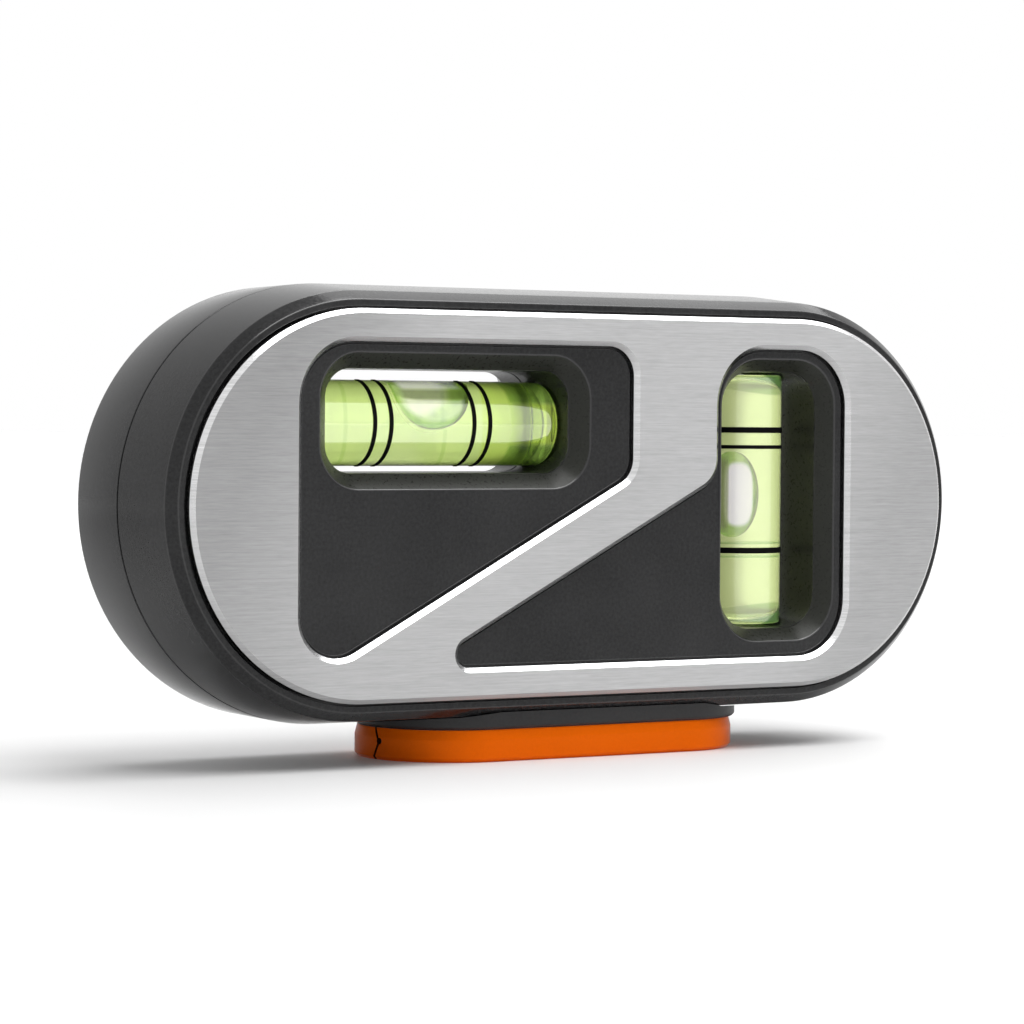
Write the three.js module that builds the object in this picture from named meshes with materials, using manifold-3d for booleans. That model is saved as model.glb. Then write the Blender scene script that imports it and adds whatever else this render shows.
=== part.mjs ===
// Pocket level: two moulded housing shells, a brushed face plate with two cut-outs,
// a level vial, a plumb vial, and a clip-on two-piece base on a saddle foot.
// Millimetres, +X to the right seen from the front, front towards -Y, +Z up.
// The origin is the centre of the outline, on the surface that the level stands on.
import * as THREE from 'three';
import { mergeVertices } from 'three/addons/utils/BufferGeometryUtils.js';
import Module from 'manifold-3d';

const wasm = await Module();
wasm.setup();

// Face plate. Depths run from its front face towards the back, heights from its centre
const plateHeight = 43;
const endSpacing = 58.7;
const plateThickness = 1;
const plateBevelWidth = 0.5;
const plateBevelDepth = 0.65;
const cutoutBevelWidth = 0.6;

// Plate cut-outs: sharp corners of the inner edge, each with its fillet radius. The margins
// lie between the plate's edge and a cut-out, the rise and the drop above and below a corner
const cutoutTopMargin = 3.6;
const levelCutoutFootMargin = 2.04;
const plumbCutoutFootMargin = 3.55;
const levelCutoutLeft = -37.4;
const levelCutoutRight = 6;
const levelCutoutRise = 1.6;
const levelCutoutTopLeftFillet = 6.7;
const levelCutoutTopRightFillet = 3.4;
const levelCutoutRightFillet = 3.15;
const levelCutoutFootFillet = 4.6;
const plumbCutoutLeft = 17.9;
const plumbCutoutRight = 36.4;
const plumbCutoutTip = -22.1;
const plumbCutoutDrop = 0.5;
const plumbCutoutFillet = 6.6;
const plumbCutoutTipFillet = 1.5;
const plumbCutoutShoulderFillet = 4;

// Housing shells
const rimInset = 0.25;
const rimWidth = 0.72;
const rimSetback = 0.05;
const chamferWidth = 1.05;
const chamferDepth = 1.25;
const frontShellDepth = 10.5;
const rearShellDepth = 10.95;
const draftWidth = 0.93;
const rearDraftWidth = 0.15;
const rearChamfer = 1.1;
const partingGap = 0.3;
const housingWall = 2;
const plateSeatGap = 0.15;
const plateGrooveWidth = 0.45;
const plateGrooveDepth = 0.7;
const panelLift = 0.1;
const panelGap = 0.25;
const lipHeight = 1.5;
const lipRoot = 1.3;
const lipWall = 1.1;
const lipGap = 0.3;

// Adhesive sheet between the plate and the front shell
const sheetGap = 0.02;
const sheetEdge = 0.6;

// Windows: edges of the opening in the panel, then the funnel down to the throat
const windowTopMargin = 1.1;
const levelWindowLeft = -34.85;
const levelWindowRight = 0.4;
const levelWindowHeight = 15.05;
const levelWindowRadius = 5;
const plumbWindowLeft = 18.65;
const plumbWindowRight = 35.2;
const plumbWindowMargin = 1.75;
const plumbWindowRadius = 5.5;
const funnelInset = 1.5;
const funnelDepth = 2;
const throatEnd = 15.85;
const rearFlare = 3.2;
const collarWall = 1.5;
const ledgeReach = 0.9;
const ledgeGap = 0.2;
const vialRoom = 0.2;

// Vials
const vialRadius = 4.8;
const vialWall = 1;
const vialAxisDepth = 9.25;
const vialEndGap = 0.3;
const levelVialEdge = 0.8;
const plumbVialEdge = 0.4;
const vialEndWall = 0.7;
const vialDome = 2;
const plugRadius = 2.2;
const plugLength = 2;
const plugGap = 0.05;
const liquidGap = 0.05;
const levelVialRise = 7.28;
const plumbVialOffset = 27.6;

// Gauge rings: places along each vial, from the plate's centre
const ringWidth = 0.42;
const ringGap = 0.02;
const ringThickness = 0.08;
const levelRingCentre = -18.33;
const levelRingInner = 5.4;
const levelRingOuter = 7.5;
const plumbRingTop = 8.5;
const plumbRingUpper = 6.5;
const plumbRingLower = -5.7;

// Air bubbles: half length, half width and half depth of each, and where it sits. The plumb
// bubble lies against the bore on the side of the level window, turned towards the front
const bubbleGap = 0.15;
const levelBubbleCentre = -16.7;
const levelBubbleHalfLength = 5.05;
const levelBubbleHalfWidth = 3.3;
const levelBubbleDepth = 4.3;
const plumbBubbleCentre = 0.9;
const plumbBubbleHalfLength = 5.15;
const plumbBubbleHalfWidth = 2.6;
const plumbBubbleDepth = 3.2;
const plumbBubbleTurn = 38;

// Housing screws, put in from the back, and their bosses
const screwShankRadius = 1;
const screwHeadRadius = 2.4;
const screwHeadHeight = 1.7;
const screwHeadDome = 0.5;
const screwLength = 12;
const screwGap = 0.15;
const screwRecessLength = 2.8;
const screwRecessWidth = 0.55;
const screwRecessDepth = 0.9;
const bossRadius = 3.2;
const bossFloor = 1.5;
const counterboreRadius = 2.8;
const counterboreDepth = 3.2;
const screwEndInset = 5.85;
const screwTopInset = 7.5;
const screwBottomInset = 8.5;
const screwLeftInset = 15.4;

// Saddle foot under the housing
const footCentre = 2.285;
const footSetback = 0.45;
const footEndSpacing = 27.77;
const footRadius = 10.4;
const footFlange = 0.55;
const footGap = 0.1;
const footEdge = 0.3;
const footLip = 0.45;
const cheekHeight = 1.4;
const cheekLength = 28;
const cheekLeftSlope = 5.4;
const cheekRightSlope = 3.4;
const cheekShift = 0.935;
const railLength = 26;
const railNeck = 2.6;
const railHead = 6;
const railHeadHeight = 1.25;
const railGap = 0.3;

// Clip-on base round the foot
const baseCentre = 1.97;
const baseEndSpacing = 27.3;
const baseRadius = 10.4;
const baseHeight = 3.5;
const baseBevelWidth = 0.12;
const baseBevelHeight = 1.1;
const baseEdge = 0.4;
const baseWall = 1.2;
const baseFloor = 1;
const baseFloorWidth = 3.5;
const baseGap = 0.3;
const beadHeight = 0.3;
const beadReach = 0.5;
const beadSlope = 0.3;
const beadRise = 0.7;
const jointSetback = 1.2;
const jointGap = 0.3;
const jointNotch = 1;
const jointNotchShare = 0.39;
const pinRadius = 0.28;
const pinLength = 3.4;
const pinGap = 0.1;
const pinInset = 0.3;

// Magnets let into the foot from below
const magnetLength = 12;
const magnetWidth = 7.5;
const magnetThickness = 1.9;
const magnetSpacing = 15;
const magnetRecess = 0.25;
const magnetGap = 0.1;

// Every cutter runs this far past what it cuts
const overrun = 0.5;

// Facets
const endSteps = 20;
const cornerSteps = 5;
const roundSteps = 32;
const smallSteps = 14;
const edgeSteps = 3;
const domeSteps = 4;
const bubbleRings = 14;

// Sizes that follow from the ones above
const plateRadius = plateHeight / 2;
const halfSpacing = endSpacing / 2;
const cutoutTop = plateRadius - cutoutTopMargin;
const windowTop = cutoutTop - windowTopMargin;
const levelWindowBottom = windowTop - levelWindowHeight;
const levelVialHeight = levelWindowBottom + levelVialRise;
const levelCutoutLeftFoot = levelCutoutFootMargin - plateRadius;
const levelCutoutRightFoot = levelWindowBottom + levelCutoutRise;
const plumbCutoutBottom = plumbCutoutFootMargin - plateRadius;
const plumbCutoutShoulder = levelCutoutRightFoot - plumbCutoutDrop;
const plumbWindowBottom = plumbCutoutBottom + plumbWindowMargin;
const rimDepth = plateThickness + rimSetback;
const rimInnerRadius = plateRadius + rimInset;
const rimOuterRadius = rimInnerRadius + rimWidth;
const shoulderRadius = rimOuterRadius + chamferWidth;
const shoulderDepth = rimDepth + chamferDepth;
const partingDepth = rimDepth + frontShellDepth;
const partingRadius = shoulderRadius + draftWidth;
const frontShellEnd = partingDepth - partingGap / 2;
const rearShellStart = partingDepth + partingGap / 2;
const backDepth = partingDepth + rearShellDepth;
const rearShoulderDepth = backDepth - rearChamfer;
const rearShoulderRadius = partingRadius - rearDraftWidth;
const seatDepth = plateThickness + plateSeatGap;
const panelDepth = plateThickness - panelLift;
const throatStart = panelDepth + funnelDepth;
const throatLeft = levelWindowLeft + funnelInset;
const throatRight = levelWindowRight - funnelInset;
const throatBottom = plumbWindowBottom + funnelInset;
const throatTop = windowTop - funnelInset;
const footDepth = partingDepth + footSetback;
const flangeTop = -partingRadius - footGap;
const flangeBottom = flangeTop - footFlange;
const baseTop = flangeBottom - footGap;
const baseBottom = baseTop - baseHeight;
const standHeight = -baseBottom;
const vialBore = vialRadius - vialWall;

// Materials
function finish(colour, roughness, metalness) {
  return new THREE.MeshStandardMaterial({ color: colour, roughness, metalness });
}

const steelFinish = () => finish(0xb4b4b6, 0.35, 1);
const shellFinish = () => finish(0x3a3a3c, 0.6, 0);
const orangeFinish = () => finish(0xec6a08, 0.45, 0);
const acrylicFinish = () => finish(0xdce8b8, 0.05, 0);
const liquidFinish = () => finish(0xb6cc5a, 0.1, 0);
const airFinish = () => finish(0xf2f6e6, 0.05, 0);
const lineFinish = () => finish(0x0c0c0c, 0.5, 0);
const screwFinish = () => finish(0x2a2a2c, 0.4, 1);
const magnetFinish = () => finish(0x8d8f92, 0.4, 1);
const sheetFinish = () => finish(0x202020, 0.9, 0);

// Geometry made from triangles, turned so that its faces point outwards
function closedGeometry(positions, triangles) {
  let volume = 0;
  for (const [a, b, c] of triangles) {
    volume += positions[a].dot(new THREE.Vector3().crossVectors(positions[b], positions[c]));
  }
  const index = volume < 0 ? triangles.map(([a, b, c]) => [a, c, b]) : triangles;
  const geometry = new THREE.BufferGeometry();
  geometry.setAttribute('position', new THREE.Float32BufferAttribute(positions.flatMap((p) => p.toArray()), 3));
  geometry.setIndex(index.flat());
  geometry.computeVertexNormals();
  return geometry;
}

// A solid for joining and cutting, from any closed geometry
function solidOf(geometry) {
  const bare = geometry.clone();
  bare.deleteAttribute('normal');
  bare.deleteAttribute('uv');
  const merged = mergeVertices(bare);
  const place = merged.attributes.position;
  const positions = [];
  for (let i = 0; i < place.count; i += 1) {
    positions.push(new THREE.Vector3().fromBufferAttribute(place, i));
  }
  const corners = merged.index.array;
  const triangles = [];
  for (let i = 0; i < corners.length; i += 3) {
    const [a, b, c] = [corners[i], corners[i + 1], corners[i + 2]];
    if (a !== b && b !== c && c !== a) triangles.push([a, b, c]);
  }
  const outward = closedGeometry(positions, triangles);
  return new wasm.Manifold(new wasm.Mesh({
    numProp: 3,
    vertProperties: new Float32Array(outward.attributes.position.array),
    triVerts: new Uint32Array(outward.index.array),
  }));
}

function geometryOf(solid) {
  const mesh = solid.getMesh();
  const geometry = new THREE.BufferGeometry();
  const places = new Float32Array(mesh.numVert * 3);
  for (let i = 0; i < mesh.numVert; i += 1) {
    for (let k = 0; k < 3; k += 1) places[i * 3 + k] = mesh.vertProperties[i * mesh.numProp + k];
  }
  geometry.setAttribute('position', new THREE.BufferAttribute(places, 3));
  geometry.setIndex(Array.from(mesh.triVerts));
  geometry.computeVertexNormals();
  return geometry;
}

function joined(first, ...others) {
  return others.reduce((whole, next) => whole.add(next), first);
}

function cut(first, ...cutters) {
  return cutters.reduce((rest, next) => rest.subtract(next), first);
}

// Outlines are lists of points, anticlockwise
function arcPoints(centre, radius, start, end, steps) {
  const points = [];
  for (let i = 0; i <= steps; i += 1) {
    const angle = start + ((end - start) * i) / steps;
    points.push(new THREE.Vector2(centre.x + radius * Math.cos(angle), centre.y + radius * Math.sin(angle)));
  }
  return points;
}

function stadium(halfLength, radius, centre = new THREE.Vector2()) {
  const right = new THREE.Vector2(centre.x + halfLength, centre.y);
  const left = new THREE.Vector2(centre.x - halfLength, centre.y);
  return [
    ...arcPoints(right, radius, -Math.PI / 2, Math.PI / 2, endSteps),
    ...arcPoints(left, radius, Math.PI / 2, (Math.PI * 3) / 2, endSteps),
  ];
}

// A polygon with a fillet at each corner, grown outwards all round by growth.
// Each corner is { x, y, fillet }; a corner that points inwards loses radius as it grows
function filleted(corners, growth) {
  const count = corners.length;
  const along = corners.map((corner, i) => {
    const next = corners[(i + 1) % count];
    return new THREE.Vector2(next.x - corner.x, next.y - corner.y).normalize();
  });
  return corners.flatMap((corner, i) => {
    const before = along[(i + count - 1) % count];
    const after = along[i];
    const turn = Math.atan2(before.cross(after), before.dot(after));
    const side = Math.sign(turn);
    const outBefore = new THREE.Vector2(before.y, -before.x);
    const outAfter = new THREE.Vector2(after.y, -after.x);
    const push = growth / (1 + outBefore.dot(outAfter));
    const vertex = new THREE.Vector2(corner.x, corner.y).addScaledVector(outBefore.add(outAfter), push);
    const radius = corner.fillet + side * growth;
    const back = radius * Math.tan(Math.abs(turn) / 2);
    const inward = new THREE.Vector2(-before.y, before.x).multiplyScalar(side);
    const centre = vertex.clone().addScaledVector(before, -back).addScaledVector(inward, radius);
    const start = Math.atan2(-inward.y, -inward.x);
    return arcPoints(centre, radius, start, start + turn, cornerSteps);
  });
}

function boxCorners(left, right, bottom, top, fillet) {
  return [
    { x: left, y: bottom, fillet },
    { x: right, y: bottom, fillet },
    { x: right, y: top, fillet },
    { x: left, y: top, fillet },
  ];
}

// Solids lofted through outlines of equal point counts. Facing stations are [depth, outline],
// seen from the front; plan stations are [height, outline], seen from above
function loft(drawn, place) {
  const stations = drawn.map(([level, outline]) => {
    const clockwise = THREE.ShapeUtils.isClockWise(outline);
    return [level, clockwise ? [...outline].reverse() : outline];
  });
  const count = stations[0][1].length;
  const positions = stations.flatMap(([level, outline]) => outline.map((point) => place(point, level)));
  const triangles = [];
  for (let ring = 0; ring + 1 < stations.length; ring += 1) {
    for (let i = 0; i < count; i += 1) {
      const [a, b] = [ring * count + i, ring * count + ((i + 1) % count)];
      triangles.push([a, a + count, b + count], [a, b + count, b]);
    }
  }
  const last = (stations.length - 1) * count;
  for (const [a, b, c] of THREE.ShapeUtils.triangulateShape(stations[0][1], [])) triangles.push([a, b, c]);
  for (const [a, b, c] of THREE.ShapeUtils.triangulateShape(stations[stations.length - 1][1], [])) {
    triangles.push([last + a, last + c, last + b]);
  }
  return closedGeometry(positions, triangles);
}

const facing = (point, depth) => new THREE.Vector3(point.x, depth, point.y);
const onPlan = (point, height) => new THREE.Vector3(point.x, point.y, height);
const facingSolid = (stations) => solidOf(loft(stations, facing));
const planSolid = (stations) => solidOf(loft(stations, onPlan));

function boxSolid(low, high) {
  const geometry = new THREE.BoxGeometry(high[0] - low[0], high[1] - low[1], high[2] - low[2]);
  geometry.translate((low[0] + high[0]) / 2, (low[1] + high[1]) / 2, (low[2] + high[2]) / 2);
  return solidOf(geometry);
}

// A round bar along the depth direction, from one depth to another
function depthBar(place, radius, from, to, steps = smallSteps) {
  const geometry = new THREE.CylinderGeometry(radius, radius, to - from, steps);
  geometry.translate(place.x, (from + to) / 2, place.y);
  return solidOf(geometry);
}

const bodyOutline = (radius) => stadium(halfSpacing, radius);

const levelCutoutCorners = [
  { x: levelCutoutLeft, y: levelCutoutLeftFoot, fillet: levelCutoutFootFillet },
  { x: levelCutoutRight, y: levelCutoutRightFoot, fillet: levelCutoutRightFillet },
  { x: levelCutoutRight, y: cutoutTop, fillet: levelCutoutTopRightFillet },
  { x: levelCutoutLeft, y: cutoutTop, fillet: levelCutoutTopLeftFillet },
];
const plumbCutoutCorners = [
  { x: plumbCutoutTip, y: plumbCutoutBottom, fillet: plumbCutoutTipFillet },
  { x: plumbCutoutRight, y: plumbCutoutBottom, fillet: plumbCutoutFillet },
  { x: plumbCutoutRight, y: cutoutTop, fillet: plumbCutoutFillet },
  { x: plumbCutoutLeft, y: cutoutTop, fillet: plumbCutoutFillet },
  { x: plumbCutoutLeft, y: plumbCutoutShoulder, fillet: plumbCutoutShoulderFillet },
];
const cutouts = [levelCutoutCorners, plumbCutoutCorners];
const levelWindow = {
  left: levelWindowLeft,
  right: levelWindowRight,
  bottom: levelWindowBottom,
  top: windowTop,
  radius: levelWindowRadius,
};
const plumbWindow = {
  left: plumbWindowLeft,
  right: plumbWindowRight,
  bottom: plumbWindowBottom,
  top: windowTop,
  radius: plumbWindowRadius,
};
const windows = [levelWindow, plumbWindow];
const windowOutline = (window, growth) => filleted(
  boxCorners(window.left, window.right, window.bottom, window.top, window.radius),
  growth,
);
const screwEnd = halfSpacing + plateRadius - screwEndInset;
const screwMiddle = (levelWindowRight + plumbWindowLeft) / 2;
const screwPlaces = [
  new THREE.Vector2(-screwEnd, 0),
  new THREE.Vector2(screwEnd, 0),
  new THREE.Vector2(screwMiddle, plateRadius - screwTopInset),
  new THREE.Vector2(screwMiddle, screwBottomInset - plateRadius),
  new THREE.Vector2(levelCutoutLeft + screwLeftInset, screwBottomInset - plateRadius),
];

// Face plate: a bevelled stadium with two bevelled cut-outs
function facePlate() {
  const blank = facingSolid([
    [0, bodyOutline(plateRadius - plateBevelWidth)],
    [plateBevelDepth, bodyOutline(plateRadius)],
    [plateThickness, bodyOutline(plateRadius)],
  ]);
  const openings = cutouts.map((corners) => facingSolid([
    [-overrun, filleted(corners, cutoutBevelWidth * (1 + overrun / plateBevelDepth))],
    [plateBevelDepth, filleted(corners, 0)],
    [plateThickness + overrun, filleted(corners, 0)],
  ]));
  return cut(blank, ...openings);
}

function adhesiveSheet() {
  const front = plateThickness + sheetGap;
  const back = seatDepth - sheetGap;
  const blank = facingSolid([
    [front, bodyOutline(plateRadius - sheetEdge)],
    [back, bodyOutline(plateRadius - sheetEdge)],
  ]);
  const openings = cutouts.map((corners) => facingSolid([
    [front - overrun, filleted(corners, sheetEdge)],
    [back + overrun, filleted(corners, sheetEdge)],
  ]));
  return cut(blank, ...openings);
}

// Room for the ends of both vials, scooped from the rounded corners of the throats
function vialRooms() {
  const radius = vialRadius + vialRoom;
  const across = new THREE.CylinderGeometry(radius, radius, throatRight - throatLeft, roundSteps);
  across.rotateZ(Math.PI / 2);
  across.translate((throatLeft + throatRight) / 2, vialAxisDepth, levelVialHeight);
  const upright = new THREE.CylinderGeometry(radius, radius, throatTop - throatBottom, roundSteps);
  upright.rotateX(Math.PI / 2);
  upright.translate(plumbVialOffset, vialAxisDepth, (throatBottom + throatTop) / 2);
  return [solidOf(across), solidOf(upright)];
}

// Room for the foot's rail, cut from both shells
function railRoom() {
  const half = railLength / 2 + railGap;
  const neck = boxSolid(
    [footCentre - half, footDepth - railNeck / 2 - railGap, flangeTop - overrun],
    [footCentre + half, footDepth + railNeck / 2 + railGap, railTop() + railGap],
  );
  const head = boxSolid(
    [footCentre - half, footDepth - railHead / 2 - railGap, railTop() - railHeadHeight - railGap],
    [footCentre + half, footDepth + railHead / 2 + railGap, railTop() + railGap],
  );
  return neck.add(head);
}

// The rail's head clears the floor inside the shells by railGap
function railTop() {
  return -partingRadius + housingWall + railGap + railHeadHeight;
}

// Front shell: rim, chamfer and drafted wall outside; plate seat and raised panels in front;
// window funnels with collars that run back to the parting plane, and screw bosses
function frontHousing() {
  const outside = facingSolid([
    [rimDepth, bodyOutline(rimOuterRadius)],
    [shoulderDepth, bodyOutline(shoulderRadius)],
    [frontShellEnd, bodyOutline(partingRadius)],
  ]);
  const hollow = facingSolid([
    [seatDepth + housingWall, bodyOutline(shoulderRadius - housingWall)],
    [frontShellEnd + overrun, bodyOutline(partingRadius - housingWall)],
  ]);
  const seat = facingSolid([
    [rimDepth - overrun, bodyOutline(rimInnerRadius)],
    [seatDepth, bodyOutline(rimInnerRadius)],
  ]);
  const groove = facingSolid([
    [rimDepth - overrun, bodyOutline(rimInnerRadius)],
    [rimDepth + plateGrooveDepth, bodyOutline(rimInnerRadius)],
  ]).subtract(facingSolid([
    [rimDepth - overrun - overrun, bodyOutline(rimInnerRadius - plateGrooveWidth)],
    [rimDepth + plateGrooveDepth + overrun, bodyOutline(rimInnerRadius - plateGrooveWidth)],
  ]));
  const panels = cutouts.map((corners) => facingSolid([
    [panelDepth, filleted(corners, -panelGap)],
    [seatDepth + overrun, filleted(corners, -panelGap)],
  ]));
  const collars = windows.map((window) => facingSolid([
    [throatStart, windowOutline(window, collarWall - funnelInset)],
    [frontShellEnd, windowOutline(window, collarWall - funnelInset)],
  ]));
  const bosses = screwPlaces.map((place) => depthBar(place, bossRadius, seatDepth + overrun, frontShellEnd));
  const funnels = windows.map((window) => facingSolid([
    [panelDepth - overrun, windowOutline(window, (funnelInset * overrun) / funnelDepth)],
    [throatStart, windowOutline(window, -funnelInset)],
    [frontShellEnd + overrun, windowOutline(window, -funnelInset)],
  ]));
  const pilotHoles = screwPlaces.map((place) => depthBar(
    place,
    screwShankRadius + screwGap,
    seatDepth + bossFloor,
    frontShellEnd + overrun,
  ));
  const shell = cut(outside, hollow, seat, groove);
  const filled = joined(shell, ...panels, ...collars, ...bosses);
  return cut(filled, ...funnels, ...vialRooms(), ...pilotHoles, railRoom());
}

// Rear shell: drafted wall and chamfer, a lip that centres it in the front shell, throats that
// flare out to the back with a ledge behind each vial end, and counterbored screw bosses
function rearHousing() {
  const outside = facingSolid([
    [rearShellStart, bodyOutline(partingRadius)],
    [rearShoulderDepth, bodyOutline(rearShoulderRadius)],
    [backDepth, bodyOutline(rearShoulderRadius - rearChamfer)],
  ]);
  const hollow = facingSolid([
    [rearShellStart - overrun, bodyOutline(partingRadius - housingWall)],
    [backDepth - housingWall, bodyOutline(rearShoulderRadius - housingWall)],
  ]);
  const lipRadius = partingRadius - housingWall - lipGap;
  const lip = facingSolid([
    [rearShellStart - lipHeight, bodyOutline(lipRadius)],
    [rearShellStart + lipRoot, bodyOutline(lipRadius)],
  ]);
  const lipSeat = facingSolid([
    [rearShellStart, bodyOutline(partingRadius - housingWall / 2)],
    [rearShellStart + lipRoot, bodyOutline(partingRadius - housingWall / 2)],
  ]);
  const lipBore = facingSolid([
    [rearShellStart - lipHeight - overrun, bodyOutline(lipRadius - lipWall)],
    [rearShellStart + lipRoot + overrun, bodyOutline(lipRadius - lipWall)],
  ]);
  const collars = windows.map((window) => facingSolid([
    [rearShellStart, windowOutline(window, collarWall - funnelInset)],
    [throatEnd, windowOutline(window, collarWall - funnelInset)],
    [backDepth, windowOutline(window, collarWall - funnelInset + rearFlare)],
  ]));
  const bosses = screwPlaces.map((place) => depthBar(place, bossRadius, rearShellStart, backDepth));
  const flareRun = backDepth - throatEnd;
  const throats = windows.map((window) => facingSolid([
    [rearShellStart - overrun, windowOutline(window, -funnelInset)],
    [throatEnd, windowOutline(window, -funnelInset)],
    [backDepth + overrun, windowOutline(window, (rearFlare * (flareRun + overrun)) / flareRun - funnelInset)],
  ]));
  const ledgeFront = vialAxisDepth + vialRadius + ledgeGap;
  const reach = funnelInset + ledgeReach;
  const intoWall = collarWall / 2;
  const ledges = [
    [levelWindow.left + funnelInset - intoWall, levelWindow.left + reach, levelWindow],
    [levelWindow.right - reach, levelWindow.right - funnelInset + intoWall, levelWindow],
  ].map(([from, to, window]) => boxSolid(
    [from, ledgeFront, window.bottom + window.radius],
    [to, throatEnd, window.top - window.radius],
  ));
  const shelves = [
    [plumbWindow.bottom + funnelInset - intoWall, plumbWindow.bottom + reach, plumbWindow],
    [plumbWindow.top - reach, plumbWindow.top - funnelInset + intoWall, plumbWindow],
  ].map(([from, to, window]) => boxSolid(
    [window.left + window.radius, ledgeFront, from],
    [window.right - window.radius, throatEnd, to],
  ));
  const screwHoles = screwPlaces.map((place) => depthBar(
    place,
    screwShankRadius + screwGap,
    rearShellStart - overrun,
    backDepth + overrun,
  ));
  const counterbores = screwPlaces.map((place) => depthBar(
    place,
    counterboreRadius,
    backDepth - counterboreDepth,
    backDepth + overrun,
  ));
  const lipRing = cut(joined(lip, lipSeat), lipBore);
  const filled = joined(cut(outside, hollow), lipRing, ...collars, ...bosses);
  const opened = cut(filled, ...throats, ...vialRooms(), ...screwHoles, ...counterbores, railRoom());
  return joined(opened, ...ledges, ...shelves);
}

// Housing screw: domed head with a cross recess, at the head's seat, pointing to the front
function housingScrew() {
  const profile = [
    new THREE.Vector2(0, 0),
    new THREE.Vector2(screwHeadRadius, 0),
    new THREE.Vector2(screwHeadRadius, screwHeadHeight - screwHeadDome),
    new THREE.Vector2(screwHeadRadius - screwHeadDome, screwHeadHeight),
    new THREE.Vector2(0, screwHeadHeight),
  ];
  const head = solidOf(new THREE.LatheGeometry(profile, smallSteps));
  const shank = new THREE.CylinderGeometry(screwShankRadius, screwShankRadius, screwLength, smallSteps);
  shank.translate(0, overrun - screwLength / 2, 0);
  const [long, thin] = [screwRecessLength / 2, screwRecessWidth / 2];
  const [recessFloor, recessTop] = [screwHeadHeight - screwRecessDepth, screwHeadHeight + overrun];
  const recess = joined(
    boxSolid([-long, recessFloor, -thin], [long, recessTop, thin]),
    boxSolid([-thin, recessFloor, -long], [thin, recessTop, long]),
  );
  return cut(joined(head, solidOf(shank)), recess);
}

// Vials are turned about their own Y axis. The end at -Y has a plug in its filling hole
function vialTube(length, edge) {
  const [filled, closed] = [-length / 2, length / 2];
  const corner = new THREE.Vector2(vialRadius - edge, closed - edge);
  const rounded = arcPoints(corner, edge, Math.PI / 2, 0, edgeSteps);
  const boreEnd = closed - vialEndWall - vialDome;
  const dome = [];
  for (let i = 0; i < domeSteps; i += 1) {
    const angle = (Math.PI / 2) * (i / domeSteps);
    dome.push(new THREE.Vector2(vialBore * Math.cos(angle), boreEnd + vialDome * Math.sin(angle)));
  }
  const profile = [
    new THREE.Vector2(0, closed),
    ...rounded,
    ...rounded.map((point) => new THREE.Vector2(point.x, -point.y)).reverse(),
    new THREE.Vector2(plugRadius + plugGap, filled),
    new THREE.Vector2(plugRadius + plugGap, filled + plugLength),
    new THREE.Vector2(vialBore, filled + plugLength),
    ...dome,
    new THREE.Vector2(0, boreEnd + vialDome),
  ];
  return solidOf(new THREE.LatheGeometry(profile, roundSteps));
}

function vialPlug() {
  return solidOf(new THREE.CylinderGeometry(plugRadius, plugRadius, plugLength, roundSteps));
}

function gaugeRing() {
  const inner = vialRadius + ringGap;
  const outer = inner + ringThickness;
  const half = ringWidth / 2;
  const profile = [
    new THREE.Vector2(inner, -half),
    new THREE.Vector2(outer, -half),
    new THREE.Vector2(outer, half),
    new THREE.Vector2(inner, half),
    new THREE.Vector2(inner, -half),
  ];
  return solidOf(new THREE.LatheGeometry(profile, roundSteps));
}

// An egg-shaped bubble against the bore's wall on the +X side, centred along Y at zero
function bubbleBlank(shape, growth) {
  const egg = new THREE.SphereGeometry(1, roundSteps / 2, bubbleRings);
  egg.scale(shape.depth + growth, shape.halfLength + growth, shape.halfWidth + growth);
  egg.translate(vialBore - bubbleGap, 0, 0);
  return egg;
}

function airBubble(shape) {
  const bore = vialBore - bubbleGap;
  const room = solidOf(new THREE.CylinderGeometry(bore, bore, shape.halfLength * 2 + overrun, roundSteps));
  return solidOf(bubbleBlank(shape, 0)).intersect(room);
}

// Liquid: the bore from plug to dome, less the channel that the bubble runs along
function vialLiquid(length, shape) {
  const radius = vialBore - liquidGap;
  const start = -length / 2 + plugLength + liquidGap;
  const boreEnd = length / 2 - vialEndWall - vialDome;
  const profile = [new THREE.Vector2(0, start)];
  for (let i = 0; i < domeSteps; i += 1) {
    const angle = (Math.PI / 2) * (i / domeSteps);
    if (i === 0) profile.push(new THREE.Vector2(radius, start));
    profile.push(new THREE.Vector2(radius * Math.cos(angle), boreEnd + (vialDome - liquidGap) * Math.sin(angle)));
  }
  profile.push(new THREE.Vector2(0, boreEnd + vialDome - liquidGap));
  const filled = solidOf(new THREE.LatheGeometry(profile, roundSteps));
  const runEnd = boreEnd - bubbleGap;
  const runStart = start + bubbleGap;
  const channel = new THREE.CylinderGeometry(1, 1, runEnd - runStart, roundSteps / 2);
  channel.scale(shape.depth + bubbleGap, 1, shape.halfWidth + bubbleGap);
  channel.translate(vialBore - bubbleGap, (runEnd + runStart) / 2, 0);
  return filled.subtract(solidOf(channel));
}

const levelBubble = {
  halfLength: levelBubbleHalfLength,
  halfWidth: levelBubbleHalfWidth,
  depth: levelBubbleDepth,
};
const plumbBubble = {
  halfLength: plumbBubbleHalfLength,
  halfWidth: plumbBubbleHalfWidth,
  depth: plumbBubbleDepth,
};

// Plan outlines of the foot and base
const footMiddle = new THREE.Vector2(footCentre, footDepth);
const baseMiddle = new THREE.Vector2(baseCentre, footDepth);
const footPlan = (radius) => stadium(footEndSpacing / 2, radius, footMiddle);
const basePlan = (radius) => stadium(baseEndSpacing / 2, radius, baseMiddle);

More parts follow.
